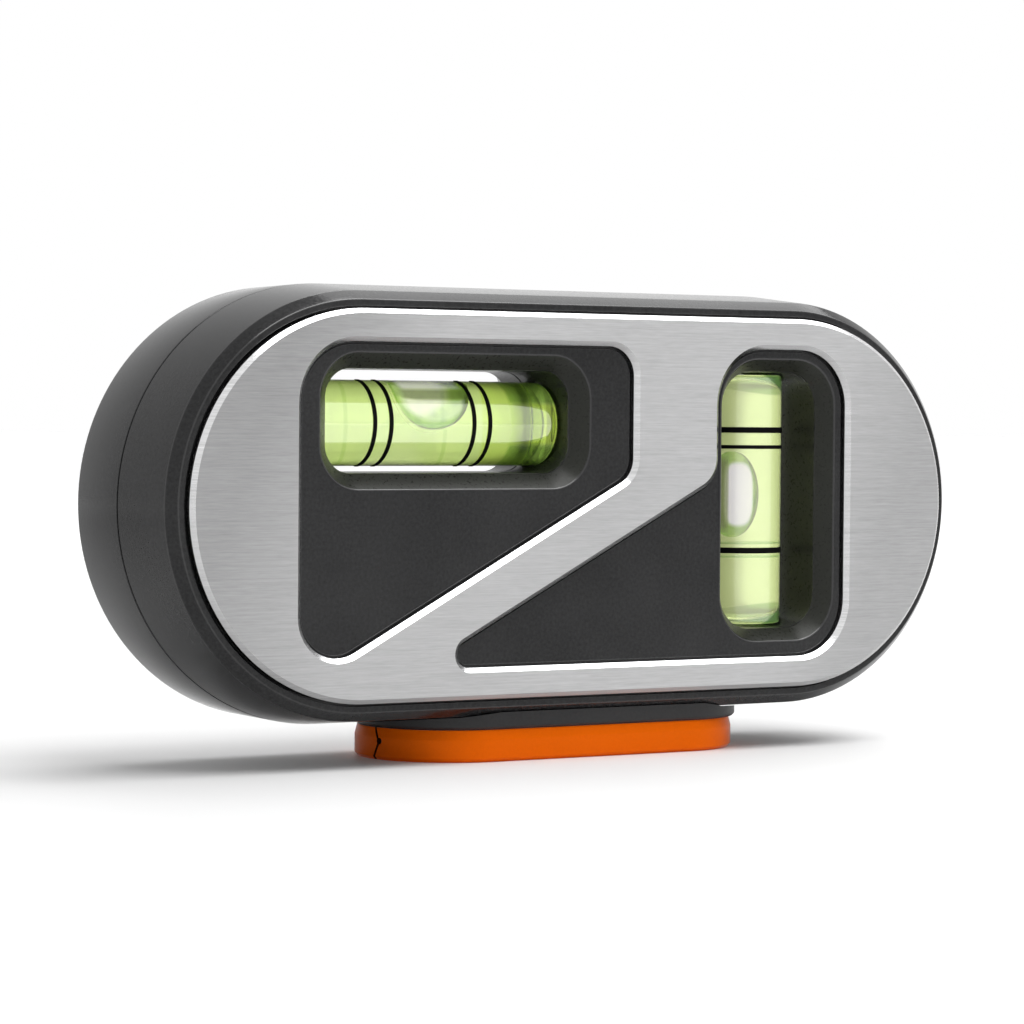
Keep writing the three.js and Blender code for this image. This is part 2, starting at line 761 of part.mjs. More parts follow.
// What the foot keeps clear of: the housing's own outside, grown by the foot's gap
function housingKeepOut() {
  return facingSolid([
    [rimDepth - overrun, bodyOutline(rimOuterRadius + footGap - (overrun * chamferWidth) / chamferDepth)],
    [shoulderDepth, bodyOutline(shoulderRadius + footGap)],
    [partingDepth, bodyOutline(partingRadius + footGap)],
    [rearShoulderDepth, bodyOutline(rearShoulderRadius + footGap)],
    [backDepth + overrun, bodyOutline(rearShoulderRadius + footGap - rearChamfer - overrun)],
  ]);
}

// Saddle foot: a flange that follows the housing's underside, cheeks that rise in front and
// behind with sloping ends, a rail caught between the shells, and a core that carries the base
function saddleFoot() {
  const cheekTop = flangeTop + cheekHeight;
  const coreRadius = baseRadius - baseWall - baseGap;
  const coreBottom = baseBottom + magnetRecess - footGap;
  const shoulderBottom = baseBottom + baseFloor + baseGap;
  const blank = planSolid([
    [flangeBottom, footPlan(footRadius - footEdge)],
    [flangeBottom + footEdge, footPlan(footRadius)],
    [cheekTop, footPlan(footRadius)],
  ]);
  const cheekMiddle = footCentre + cheekShift;
  const cheekHalf = cheekLength / 2;
  const reachEnd = footEndSpacing + footRadius;
  const lipTop = flangeTop + footLip;
  const endCut = (side, slope) => {
    const points = [
      new THREE.Vector2(cheekMiddle + side * cheekHalf, cheekTop + overrun),
      new THREE.Vector2(cheekMiddle + side * cheekHalf, cheekTop),
      new THREE.Vector2(cheekMiddle + side * (cheekHalf + slope), lipTop),
      new THREE.Vector2(cheekMiddle + side * reachEnd, lipTop),
      new THREE.Vector2(cheekMiddle + side * reachEnd, cheekTop + overrun),
    ];
    return facingSolid([
      [footDepth - footRadius - overrun, points],
      [footDepth + footRadius + overrun, points],
    ]);
  };
  const ends = [endCut(-1, cheekLeftSlope), endCut(1, cheekRightSlope)];
  const saddle = cut(blank, housingKeepOut(), ...ends);
  const rail = joined(
    boxSolid(
      [footCentre - railLength / 2, footDepth - railNeck / 2, flangeBottom + footEdge],
      [footCentre + railLength / 2, footDepth + railNeck / 2, railTop()],
    ),
    boxSolid(
      [footCentre - railLength / 2, footDepth - railHead / 2, railTop() - railHeadHeight],
      [footCentre + railLength / 2, footDepth + railHead / 2, railTop()],
    ),
  );
  const grooveTop = beadTop() + baseGap / 2;
  const grooveBottom = beadTop() - beadHeight - beadSlope * 2 - baseGap / 2;
  const core = planSolid([
    [shoulderBottom, basePlan(coreRadius)],
    [grooveBottom, basePlan(coreRadius)],
    [grooveBottom + beadSlope, basePlan(coreRadius - beadReach)],
    [grooveTop - beadSlope, basePlan(coreRadius - beadReach)],
    [grooveTop, basePlan(coreRadius)],
    [flangeBottom + footEdge, basePlan(coreRadius)],
  ]);
  const stemRadius = coreRadius - baseFloorWidth + baseWall;
  const stem = planSolid([
    [coreBottom, basePlan(stemRadius)],
    [shoulderBottom + footEdge, basePlan(stemRadius)],
  ]);
  const pockets = [-1, 1].map((side) => boxSolid(
    magnetCorner(side, -1, magnetGap, coreBottom - overrun),
    magnetCorner(side, 1, magnetGap, magnetTop() + magnetGap),
  ));
  const pinHoles = [-1, 1].map((side) => pinBar(side, pinRadius + pinGap, overrun));
  return cut(joined(saddle, rail, core, stem), ...pockets, ...pinHoles);
}

function beadTop() {
  return baseBottom + baseFloor + beadRise + beadHeight + beadSlope * 2;
}

function magnetTop() {
  return baseBottom + magnetRecess + magnetThickness;
}

function magnetCorner(side, end, gap, height) {
  const middle = baseCentre + (side * magnetSpacing) / 2;
  return [
    middle + end * (magnetLength / 2 + gap),
    footDepth + end * (magnetWidth / 2 + gap),
    height,
  ];
}

function magnetBar(side) {
  return boxSolid(
    magnetCorner(side, -1, 0, baseBottom + magnetRecess),
    magnetCorner(side, 1, 0, magnetTop()),
  );
}

// The base's two halves meet on a plane in front of the middle, with a pin at each end
const jointDepth = footDepth - jointSetback;
const pinHeight = baseTop - baseHeight * jointNotchShare;

// Distance from the base's middle to its outside at the pins, which lie in the joint's notch
function jointEnd() {
  return baseEndSpacing / 2 + Math.sqrt(baseRadius ** 2 - (jointSetback + jointNotch) ** 2);
}

function pinBar(side, radius, extra) {
  const outer = jointEnd() - pinInset + (extra > 0 ? extra : 0);
  const inner = jointEnd() - pinInset - pinLength - extra;
  const geometry = new THREE.CylinderGeometry(radius, radius, outer - inner, smallSteps);
  geometry.rotateZ(Math.PI / 2);
  geometry.translate(baseCentre + (side * (outer + inner)) / 2, jointDepth - jointNotch, pinHeight);
  return solidOf(geometry);
}

// Everything in front of (side -1) or behind (side 1) the joint, whose edge is drawn
// forwards at the pins
function jointSide(side) {
  const edge = jointDepth + (side * jointGap) / 2;
  const far = footDepth + side * (footRadius + overrun);
  const points = [
    new THREE.Vector2(edge, baseBottom - overrun),
    new THREE.Vector2(edge - jointNotch, pinHeight),
    new THREE.Vector2(edge, baseTop + overrun),
    new THREE.Vector2(far, baseTop + overrun),
    new THREE.Vector2(far, baseBottom - overrun),
  ];
  const reach = footEndSpacing / 2 + footRadius + overrun;
  const sideways = (point, across) => new THREE.Vector3(baseCentre + across, point.x, point.y);
  return solidOf(loft([[-reach, points], [reach, points]], sideways));
}

function baseHalf(side) {
  const inner = baseRadius - baseWall;
  const ring = planSolid([
    [baseBottom, basePlan(baseRadius - baseEdge)],
    [baseBottom + baseEdge, basePlan(baseRadius)],
    [baseTop - baseBevelHeight, basePlan(baseRadius)],
    [baseTop, basePlan(baseRadius - baseBevelWidth)],
  ]);
  const bead = beadTop();
  const hollow = planSolid([
    [baseBottom + baseFloor, basePlan(inner)],
    [bead - beadHeight - beadSlope * 2, basePlan(inner)],
    [bead - beadHeight - beadSlope, basePlan(inner - beadReach)],
    [bead - beadSlope, basePlan(inner - beadReach)],
    [bead, basePlan(inner)],
    [baseTop + overrun, basePlan(inner)],
  ]);
  const opening = planSolid([
    [baseBottom - overrun, basePlan(inner - baseFloorWidth + baseWall)],
    [baseBottom + baseFloor + overrun, basePlan(inner - baseFloorWidth + baseWall)],
  ]);
  const pins = [-1, 1].map((end) => pinBar(end, pinRadius + pinGap, overrun));
  return cut(ring, hollow, opening, ...pins).intersect(jointSide(side));
}

// The assembly, built about the plate's centre and then stood on its base
const level = new THREE.Group();
level.position.set(0, -backDepth / 2, standHeight);

function piece(parent, name, solid, material) {
  const mesh = new THREE.Mesh(geometryOf(solid), material);
  mesh.name = name;
  parent.add(mesh);
  return mesh;
}

piece(level, 'front_housing', frontHousing(), shellFinish());
piece(level, 'rear_housing', rearHousing(), shellFinish());
piece(level, 'adhesive_sheet', adhesiveSheet(), sheetFinish());
piece(level, 'face_plate', facePlate(), steelFinish());

screwPlaces.forEach((place, i) => {
  const screw = piece(level, `housing_screw_${i + 1}`, housingScrew(), screwFinish());
  screw.position.set(place.x, backDepth - counterboreDepth + screwGap, place.y);
});

// One vial with all that belongs to it. The group's Y axis lies along the vial and its X axis
// points to the side of the bore that the bubble lies against
function vial(name, length, edge, shape, bubblePlace, ringPlaces) {
  const group = new THREE.Group();
  piece(group, `${name}_vial`, vialTube(length, edge), acrylicFinish());
  const plug = piece(group, `${name}_vial_plug`, vialPlug(), acrylicFinish());
  plug.position.y = plugLength / 2 - length / 2;
  piece(group, `${name}_vial_liquid`, vialLiquid(length, shape), liquidFinish());
  piece(group, `${name}_bubble`, airBubble(shape), airFinish()).position.y = bubblePlace;
  ringPlaces.forEach((place, i) => {
    piece(group, `${name}_ring_${i + 1}`, gaugeRing(), lineFinish()).position.y = place;
  });
  level.add(group);
  return group;
}

const levelMiddle = (throatLeft + throatRight) / 2;
const levelLength = throatRight - throatLeft - vialEndGap * 2;
const levelVial = vial(
  'level',
  levelLength,
  levelVialEdge,
  levelBubble,
  levelBubbleCentre - levelMiddle,
  [-levelRingOuter, -levelRingInner, levelRingInner, levelRingOuter].map(
    (offset) => levelRingCentre + offset - levelMiddle,
  ),
);
levelVial.position.set(levelMiddle, vialAxisDepth, levelVialHeight);
levelVial.quaternion.setFromRotationMatrix(new THREE.Matrix4().makeBasis(
  new THREE.Vector3(0, 0, 1),
  new THREE.Vector3(1, 0, 0),
  new THREE.Vector3(0, 1, 0),
));

const plumbMiddle = (throatBottom + throatTop) / 2;
const plumbLength = throatTop - throatBottom - vialEndGap * 2;
const plumbVial = vial(
  'plumb',
  plumbLength,
  plumbVialEdge,
  plumbBubble,
  plumbBubbleCentre - plumbMiddle,
  [plumbRingTop, plumbRingUpper, plumbRingLower].map((place) => place - plumbMiddle),
);
plumbVial.position.set(plumbVialOffset, vialAxisDepth, plumbMiddle);
plumbVial.rotation.set(Math.PI / 2, Math.PI + THREE.MathUtils.degToRad(plumbBubbleTurn), 0);

piece(level, 'foot', saddleFoot(), shellFinish());
piece(level, 'base_front', baseHalf(-1), orangeFinish());
piece(level, 'base_rear', baseHalf(1), orangeFinish());
piece(level, 'magnet_left', magnetBar(-1), magnetFinish());
piece(level, 'magnet_right', magnetBar(1), magnetFinish());
piece(level, 'base_pin_left', pinBar(-1, pinRadius, 0), screwFinish());
piece(level, 'base_pin_right', pinBar(1, pinRadius, 0), screwFinish());

export default level;
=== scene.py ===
# Pocket level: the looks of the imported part, in metres and in the frame of the CAD model.
# Lengths are named in millimetres. Depths run from the face plate's front to the back,
# heights from the face plate's centre, as in the part's source.
import math

import bmesh
import bpy
from mathutils import Matrix, Vector, geometry


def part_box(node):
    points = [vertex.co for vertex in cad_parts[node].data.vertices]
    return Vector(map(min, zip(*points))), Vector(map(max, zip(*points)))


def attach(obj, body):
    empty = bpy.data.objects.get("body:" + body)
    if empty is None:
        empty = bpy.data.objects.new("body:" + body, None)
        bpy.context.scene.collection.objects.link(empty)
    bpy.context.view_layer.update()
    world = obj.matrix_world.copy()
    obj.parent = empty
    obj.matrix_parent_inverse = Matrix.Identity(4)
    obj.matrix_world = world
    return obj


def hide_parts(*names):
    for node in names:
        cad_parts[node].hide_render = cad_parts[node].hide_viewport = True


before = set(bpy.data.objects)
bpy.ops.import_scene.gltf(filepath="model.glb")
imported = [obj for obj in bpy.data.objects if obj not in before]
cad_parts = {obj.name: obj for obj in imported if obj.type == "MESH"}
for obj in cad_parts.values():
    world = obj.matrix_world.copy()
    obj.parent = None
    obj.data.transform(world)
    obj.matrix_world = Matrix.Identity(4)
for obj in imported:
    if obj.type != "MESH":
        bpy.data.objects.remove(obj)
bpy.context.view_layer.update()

bpy.context.scene.view_settings.view_transform = "Standard"
MM = 0.001

# Sizes that the frame gives
plate_low, plate_high = (Vector(corner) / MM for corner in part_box("face_plate"))
front_low, front_high = (Vector(corner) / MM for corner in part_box("front_housing"))
rear_low, rear_high = (Vector(corner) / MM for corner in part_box("rear_housing"))
FRONT_FACE = plate_low.y
CENTRE_HEIGHT = (plate_low.z + plate_high.z) / 2
PLATE_RADIUS = (plate_high.z - plate_low.z) / 2
HALF_SPACING = (plate_high.x - plate_low.x) / 2 - PLATE_RADIUS
PLATE_THICKNESS = plate_high.y - plate_low.y
PARTING_RADIUS = (front_high.z - front_low.z) / 2
FRONT_SHELL_END = front_high.y - FRONT_FACE
BACK_DEPTH = rear_high.y - FRONT_FACE

# Face plate and its cut-outs: bevels as (width, depth), corners as (x, height, fillet)
PLATE_BEVEL = (0.5, 0.45)
CUTOUT_BEVEL = (0.55, 0.5)
PLATE_SOFTENING = 0.05
FLAT_NORMAL = 0.99
LEVEL_CUTOUT = [(-37.4, -19.46, 4.6), (6, 3.35, 3.15), (6, 17.9, 3.4), (-37.4, 17.9, 6.7)]
PLUMB_CUTOUT = [
    (-22.1, -17.95, 1.5), (36.4, -17.95, 6.6), (36.4, 17.9, 6.6), (17.9, 17.9, 6.6), (17.9, 2.85, 4),
]

# Housing shells
RIM_DEPTH = 1.05
RIM_INSET = 0.25
RIM_WIDTH = 0.72
CHAMFER_WIDTH = 1.05
CHAMFER_DEPTH = 1.25
PARTING_GAP = 0.3
GROOVE_WIDTH = 0.45
GROOVE_DEPTH = 0.7
SEAT_DEPTH = 1.15
PANEL_DEPTH = 0.9
PANEL_GAP = 0.25
REAR_DRAFT = 0.15
REAR_CHAMFER = 1.1
LIP_SETBACK = 0.7
LIP_WIDTH = 1
EDGE_ROUND = 0.12
CHAMFER_ROUND = 0.3
BACK_ROUND = 0.8

# Windows: left, bottom, right and top of the opening in the panel, and its corner radius
LEVEL_WINDOW = (-34.85, 1.75, 0.4, 16.8, 5)
PLUMB_WINDOW = (18.65, -16.2, 35.2, 16.8, 5.5)
FUNNEL_INSET = 1.5
FUNNEL_DEPTH = 2
LEVEL_THROAT_INSET = 1.8
PLUMB_THROAT_INSET = 1.5
FUNNEL_ROUND = 0.35
THROAT_END = 15.85
REAR_FLARE = 3.2
VIAL_ROOM = 0.2

# Screws, put in from the back
SCREW_PLACES = [(-45, 0), (45, 0), (9.525, 14), (9.525, -13), (-22, -13)]
COUNTERBORE_RADIUS = 2.8
COUNTERBORE_DEPTH = 3.2

# Vials: ends as (wall, dome at the low end, dome at the high end), rings as (place, width)
VIAL_RADIUS = 4.8
VIAL_BORE = 3.8
VIAL_DEPTH = 9.25
VIAL_END_GAP = 0.3
LEVEL_HEIGHT = 9.03
PLUMB_OFFSET = 27.6
LEVEL_VIAL_EDGE = 0.8
PLUMB_VIAL_EDGE = 0.4
LEVEL_ENDS = (0.7, 1.9, 2.9)
PLUMB_ENDS = (0.35, 2.4, 2.4)
LEVEL_RINGS = [(-25.83, 0.5), (-23.73, 0.5), (-12.93, 0.5), (-10.83, 0.5)]
PLUMB_RINGS = [(8.5, 0.68), (6.5, 0.44), (-5.7, 0.68)]
RING_THICKNESS = 0.08
RING_GAP = 0.02
RING_REACH = math.radians(82)

# Bubbles: place along the vial, half length, half width, depth, and the direction they lie in
LEVEL_BUBBLE = (-16.7, 5.05, 3.3, 4.3, math.pi / 2)
PLUMB_BUBBLE = (0.9, 5.05, 2.6, 3.2, math.pi + math.radians(38))
BUBBLE_GAP = 0.15
# Powers that make a bubble's ellipses squarer, so that its sides stand steeper
SECTION_SQUARENESS = 0.62
LENGTH_SQUARENESS = 0.85

# Foot under the housing: plan outline, heights and the cheeks' sloping ends
FOOT_GAP = 0.1
BASE_GAP = 0.02
FOOT_CENTRE = 2.285
FOOT_HALF = 27.77 / 2
FOOT_RADIUS = 10.4
FOOT_DEPTH = 12
FLANGE_HEIGHT = 0.52
FLANGE_EDGE = 0.3
LIP_HEIGHT = 0.85
CHEEK_HEIGHT = 1.4
CHEEK_MIDDLE = 3.22
CHEEK_HALF = 14
CHEEK_SLOPES = {-1: 5.4, 1: 3.4}
CHEEK_FILLET = 3
CORE_RADIUS = 8.9
STEM_RADIUS = 6.6

# Base: plan outline, edges, the seam's notch and the pins
BASE_CENTRE = 1.97
BASE_HALF = 27.3 / 2
BASE_RADIUS = 10.4
BASE_BEVEL = (0.3, 1.1)
BASE_EDGE = 0.4
BASE_WALL = 1.2
BASE_FLOOR = 1
BASE_OPENING = 6.9
SEAM_DEPTH = FOOT_DEPTH - 1.2
SEAM_GAP = 0.36
SEAM_NOTCH = 1
# How far from the seam, and how nearly across it they face, faces take the seam's painted shade
SEAM_SHADE_REACH = 1.5
SEAM_SHADE_NORMAL = 0.2
PIN_HOLE = 0.38
MAGNET_RECESS = 0.25
MAGNET_GAP = 0.1

# Screw heads
SCREW_HEAD = 2.4
SCREW_SHANK = 1
SCREW_HEIGHT = 1.7
SCREW_DOME = 0.5
SCREW_LENGTH = 12
SCREW_SEAT = 3.05
RECESS_LENGTH = 2.8
RECESS_WIDTH = 0.55
RECESS_DEPTH = 0.9
RECESS_TAPER = 0.75
RECESS_FLARE = 1.1

# Every cutter runs this far past what it cuts
OVERRUN = 0.5

# Facets
END_STEPS = 72
CORNER_STEPS = 16
ROUND_STEPS = 128
FILLET_STEPS = 4
PIN_STEPS = 32
SCREW_STEPS = 48
CROWN_STEPS = 8
EDGE_STEPS = 10
DOME_STEPS = 24
BUBBLE_STEPS = (48, 96)
ROUND_FACET = 0.12
SHARP_ANGLE = math.radians(24)
BUBBLE_SHARP_ANGLE = math.radians(50)
STRAIGHT = 0.01
TINY = 1e-6
WELD = 1e-7

# Axes of a flat face that looks along Y, along Z or along X
FACING = (0, 2)
LYING = (0, 1)
ENDWAYS = (1, 2)


def place(x, depth, height):
    return Vector((x, FRONT_FACE + depth, CENTRE_HEIGHT + height)) * MM


# Outlines, as lists of (x, height)
def arc(x, y, radius, start, end, steps):
    angles = [start + (end - start) * i / steps for i in range(steps + 1)]
    return [(x + radius * math.cos(a), y + radius * math.sin(a)) for a in angles]


def bar(x, y, half, radius):
    """A bar with round ends about a centre."""
    right = arc(x + half, y, radius, -math.pi / 2, math.pi / 2, END_STEPS)
    return right + arc(x - half, y, radius, math.pi / 2, 3 * math.pi / 2, END_STEPS)


def stadium(radius):
    return bar(0, 0, HALF_SPACING, radius)


def foot_plan(radius):
    return bar(FOOT_CENTRE, FOOT_DEPTH, FOOT_HALF, radius)


def base_plan(radius):
    return bar(BASE_CENTRE, FOOT_DEPTH, BASE_HALF, radius)


def circle(spot, radius):
    return arc(spot[0], spot[1], radius, 0, math.tau * (1 - 1 / ROUND_STEPS), ROUND_STEPS - 1)


def rounded(vertex, before, after, radius, steps):
    """The round of a corner between two directions."""
    turn = math.atan2(before.cross(after), before.dot(after))
    inward = Vector((-before.y, before.x)) * math.copysign(1, turn)
    centre = vertex - before * radius * math.tan(abs(turn) / 2) + inward * radius
    start = math.atan2(-inward.y, -inward.x)
    return arc(centre.x, centre.y, radius, start, start + turn, steps)


def filleted(corners, growth):
    """A polygon with a fillet at each corner (x, y, radius), grown outwards by growth."""
    count = len(corners)
    spots = [Vector(corner[:2]) for corner in corners]
    along = [(spots[(i + 1) % count] - spots[i]).normalized() for i in range(count)]
    points = []
    for i, corner in enumerate(corners):
        before, after = along[i - 1], along[i]
        out_before = Vector((before.y, -before.x))
        out_after = Vector((after.y, -after.x))
        vertex = spots[i] + (out_before + out_after) * growth / (1 + out_before.dot(out_after))
        radius = corner[2] + math.copysign(1, before.cross(after)) * growth
        points += rounded(vertex, before, after, radius, CORNER_STEPS)
    return points


def window_outline(window, growth):
    left, bottom, right, top, radius = window
    corners = [(left, bottom), (right, bottom), (right, top), (left, top)]
    return filleted([(x, y, radius) for x, y in corners], growth)


def softened(profile, radii):
    """A profile of (growth, depth) with a round of the given radius at each inner point."""
    points = [Vector(point) for point in profile]
    out = [tuple(points[0])]
    for last, spot, following, radius in zip(points, points[1:], points[2:], radii):
        before = (spot - last).normalized()
        after = (following - spot).normalized()
        if radius == 0 or abs(before.cross(after)) < STRAIGHT:
            out.append(tuple(spot))
        else:
            out += rounded(spot, before, after, radius, FILLET_STEPS)
    return out + [tuple(points[-1])]


class Skin:
    """A mesh made of rings that are bridged to each other, and of flat faces with holes."""

    def __init__(self):
        self.points = []
        self.faces = []

    def ring(self, points):
        first = len(self.points)
        self.points += points
        return list(range(first, len(self.points)))

    def facing(self, outline, depth):
        return self.ring([place(x, depth, y) for x, y in outline])

    def lying(self, outline, height):
        return self.ring([place(x, y, height) for x, y in outline])

    def bridge(self, one, other):
        for i in range(len(one)):
            k = (i + 1) % len(one)
            self.faces.append((one[i], one[k], other[k], other[i]))

    def loft(self, outline, profile, lying=False):
        """Bridges outline(growth) at each (growth, depth); returns the first and last ring."""
        lay = self.lying if lying else self.facing
        rings = [lay(outline(growth), level) for growth, level in profile]
        for one, other in zip(rings, rings[1:]):
            self.bridge(one, other)
        return rings[0], rings[-1]

    def fill(self, *loops, axes=FACING):
        order = [index for loop in loops for index in loop]
        across, up = axes
        spots = [[self.points[i] for i in loop] for loop in loops]
        flat = [[Vector((spot[across], spot[up], 0)) for spot in loop] for loop in spots]
        for triangle in geometry.tessellate_polygon(flat):
            self.faces.append([order[i] for i in triangle])

    def build(self, name, sharp=SHARP_ANGLE):
        mesh = bpy.data.meshes.new(name)
        mesh.from_pydata(self.points, [], self.faces)
        work = bmesh.new()
        work.from_mesh(mesh)
        bmesh.ops.remove_doubles(work, verts=work.verts, dist=WELD)
        bmesh.ops.recalc_face_normals(work, faces=work.faces)
        for face in work.faces:
            face.smooth = True
        work.to_mesh(mesh)
        work.free()
        mesh.set_sharp_from_angle(angle=sharp)
        item = bpy.data.objects.new(name, mesh)
        bpy.context.collection.objects.link(item)
        return item


def turned(name, profile, spot, steps=ROUND_STEPS):
    """A solid of revolution from (radius, along) points that start and end on the axis."""
    skin = Skin()
    rings = []
    for radius, along in profile:
        if radius < TINY:
            rings.append(skin.ring([spot(0, along, 0)]))
        else:
            rings.append(skin.ring([spot(radius, along, math.tau * i / steps) for i in range(steps)]))
    for one, other in zip(rings, rings[1:]):
        if len(one) == 1:
            skin.faces += [(one[0], other[i], other[(i + 1) % steps]) for i in range(steps)]
        elif len(other) == 1:
            skin.faces += [(one[i], one[(i + 1) % steps], other[0]) for i in range(steps)]
        else:
            skin.bridge(one, other)
    return skin.build(name)


def solid(name, outline, profile, lying=False):
    """A closed solid with the outline's section and the given profile."""
    skin = Skin()
    for loop in skin.loft(outline, profile, lying):
        skin.fill(loop, axes=LYING if lying else FACING)
    return skin.build(name)


def carve(item, cutters, operation="DIFFERENCE"):
    """Cuts the cutters out of an item, or joins or intersects it with them, and removes them."""
    for cutter in cutters:
        modifier = item.modifiers.new("carve", "BOOLEAN")
        modifier.operation = operation
        modifier.solver = "EXACT"
        modifier.object = cutter
    bpy.context.view_layer.update()
    graph = bpy.context.evaluated_depsgraph_get()
    mesh = bpy.data.meshes.new_from_object(item.evaluated_get(graph))
    item.modifiers.clear()
    item.data = mesh
    mesh.set_sharp_from_angle(angle=SHARP_ANGLE)
    for cutter in cutters:
        bpy.data.objects.remove(cutter)


# Where the vials lie: radius and angle about the axis, and the place along it
def level_spot(radius, along, angle):
    return place(along, VIAL_DEPTH - radius * math.cos(angle), LEVEL_HEIGHT + radius * math.sin(angle))


def plumb_spot(radius, along, angle):
    return place(PLUMB_OFFSET + radius * math.cos(angle), VIAL_DEPTH + radius * math.sin(angle), along)


level_left = LEVEL_WINDOW[0] + FUNNEL_INSET
level_right = LEVEL_WINDOW[2] - FUNNEL_INSET
plumb_bottom = PLUMB_WINDOW[1] + FUNNEL_INSET
plumb_top = PLUMB_WINDOW[3] - FUNNEL_INSET


def vial_rooms():
    radius = VIAL_RADIUS + VIAL_ROOM
    ends = ((level_spot, level_left, level_right), (plumb_spot, plumb_bottom, plumb_top))
    return [
        turned("room", [(0, low), (radius, low), (radius, high), (0, high)], spot)
        for spot, low, high in ends
    ]


CUTOUTS = (
    (LEVEL_CUTOUT, LEVEL_WINDOW, LEVEL_THROAT_INSET),
    (PLUMB_CUTOUT, PLUMB_WINDOW, PLUMB_THROAT_INSET),
)


def mark_windows(shell):
    """Gives the walls in the windows the shell's second material, a painted green light from the vials, and
    its small rounds the third, a painted highlight along the edges.
    """
    front = place(0, PANEL_DEPTH + EDGE_ROUND, 0).y
    boxes = [(place(w[0], 0, w[1]), place(w[2], 0, w[3])) for _, w, _ in CUTOUTS]
    corners = shell.data.vertices
    for face in shell.data.polygons:
        spot = face.center
        inside = any(low.x < spot.x < high.x and low.z < spot.z < high.z for low, high in boxes)
        narrow = min((corners[a].co - corners[b].co).length for a, b in face.edge_keys)
        if abs(face.normal.y) > FLAT_NORMAL:
            face.material_index = 0
        elif narrow < ROUND_FACET * MM and len(face.vertices) == 4:
            face.material_index = 2
        else:
            face.material_index = int(inside and spot.y > front)


# Front shell
rim_inner = PLATE_RADIUS + RIM_INSET
rim_outer = rim_inner + RIM_WIDTH
shoulder_radius = rim_outer + CHAMFER_WIDTH
shoulder_depth = RIM_DEPTH + CHAMFER_DEPTH
groove_bottom = RIM_DEPTH + GROOVE_DEPTH


def front_shell():
    skin = Skin()
    outside = softened([
        (PARTING_RADIUS - EDGE_ROUND, FRONT_SHELL_END),
        (PARTING_RADIUS, FRONT_SHELL_END - EDGE_ROUND),
        (shoulder_radius, shoulder_depth),
        (rim_outer, RIM_DEPTH),
        (rim_inner, RIM_DEPTH),
        (rim_inner, groove_bottom),
        (rim_inner - GROOVE_WIDTH, groove_bottom),
        (rim_inner - GROOVE_WIDTH, SEAT_DEPTH),
    ], [0, CHAMFER_ROUND, CHAMFER_ROUND, EDGE_ROUND, 0, 0])
    back_loop, seat_loop = skin.loft(stadium, outside)
    seat_holes, back_holes = [], []
    for cutout, window, inset in CUTOUTS:
        edge = [(-PANEL_GAP, SEAT_DEPTH), (-PANEL_GAP, PANEL_DEPTH)]
        edge = softened(edge + [(-PANEL_GAP - 2 * EDGE_ROUND, PANEL_DEPTH)], [EDGE_ROUND])
        foot_loop, top_loop = skin.loft(lambda growth: filleted(cutout, growth), edge)
        funnel = [(FUNNEL_ROUND, PANEL_DEPTH), (0, PANEL_DEPTH)]
        funnel += [(-inset, PANEL_DEPTH + FUNNEL_DEPTH), (-inset, FRONT_SHELL_END)]
        funnel = softened(funnel, [FUNNEL_ROUND, FUNNEL_ROUND])
        mouth_loop, throat_loop = skin.loft(lambda growth: window_outline(window, growth), funnel)
        skin.fill(top_loop, mouth_loop)
        seat_holes.append(foot_loop)
        back_holes.append(throat_loop)
    skin.fill(seat_loop, *seat_holes)
    skin.fill(back_loop, *back_holes)
    shell = skin.build("front_shell")
    carve(shell, vial_rooms())
    mark_windows(shell)
    return shell


# Rear shell, with the lip that shows in the parting groove
rear_start = FRONT_SHELL_END + PARTING_GAP
rear_shoulder = PARTING_RADIUS - REAR_DRAFT


def rear_shell():
    skin = Skin()
    outside = softened([
        (PARTING_RADIUS - LIP_SETBACK - LIP_WIDTH, FRONT_SHELL_END - LIP_WIDTH),
        (PARTING_RADIUS - LIP_SETBACK, FRONT_SHELL_END - LIP_WIDTH),
        (PARTING_RADIUS - LIP_SETBACK, rear_start),
        (PARTING_RADIUS, rear_start),
        (rear_shoulder, BACK_DEPTH - REAR_CHAMFER),
        (rear_shoulder - REAR_CHAMFER, BACK_DEPTH),
        (rear_shoulder - 2 * REAR_CHAMFER, BACK_DEPTH),
    ], [0, 0, EDGE_ROUND, BACK_ROUND, BACK_ROUND])
    lip_loop, back_loop = skin.loft(stadium, outside)
    lip_bottom = skin.facing(stadium(PARTING_RADIUS - LIP_SETBACK - LIP_WIDTH), rear_start)
    skin.bridge(lip_loop, lip_bottom)
    front_holes, back_holes = [], []
    flare = REAR_FLARE - FUNNEL_INSET
    for _, window, inset in CUTOUTS:
        throat = [(-inset, rear_start), (-inset, THROAT_END)]
        throat += [(flare, BACK_DEPTH), (flare + FUNNEL_ROUND, BACK_DEPTH)]
        throat = softened(throat, [FUNNEL_ROUND, FUNNEL_ROUND])
        throat_loop, mouth_loop = skin.loft(lambda growth: window_outline(window, growth), throat)
        front_holes.append(throat_loop)
        back_holes.append(mouth_loop)
    for spot in SCREW_PLACES:
        bore = [(EDGE_ROUND, BACK_DEPTH), (0, BACK_DEPTH), (0, BACK_DEPTH - COUNTERBORE_DEPTH)]
        bore = softened(bore, [EDGE_ROUND])
        mouth_loop, floor_loop = skin.loft(lambda growth: circle(spot, COUNTERBORE_RADIUS + growth), bore)
        back_holes.append(mouth_loop)
        skin.fill(floor_loop)
    skin.fill(back_loop, *back_holes)
    skin.fill(lip_bottom, *front_holes)
    shell = skin.build("rear_shell")
    carve(shell, vial_rooms())
    mark_windows(shell)
    return shell


# Foot and base
FLANGE_TOP = -PARTING_RADIUS - FOOT_GAP
FLANGE_BOTTOM = FLANGE_TOP - FLANGE_HEIGHT
BASE_TOP = FLANGE_BOTTOM - BASE_GAP
BASE_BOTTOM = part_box("base_front")[0][2] / MM - CENTRE_HEIGHT


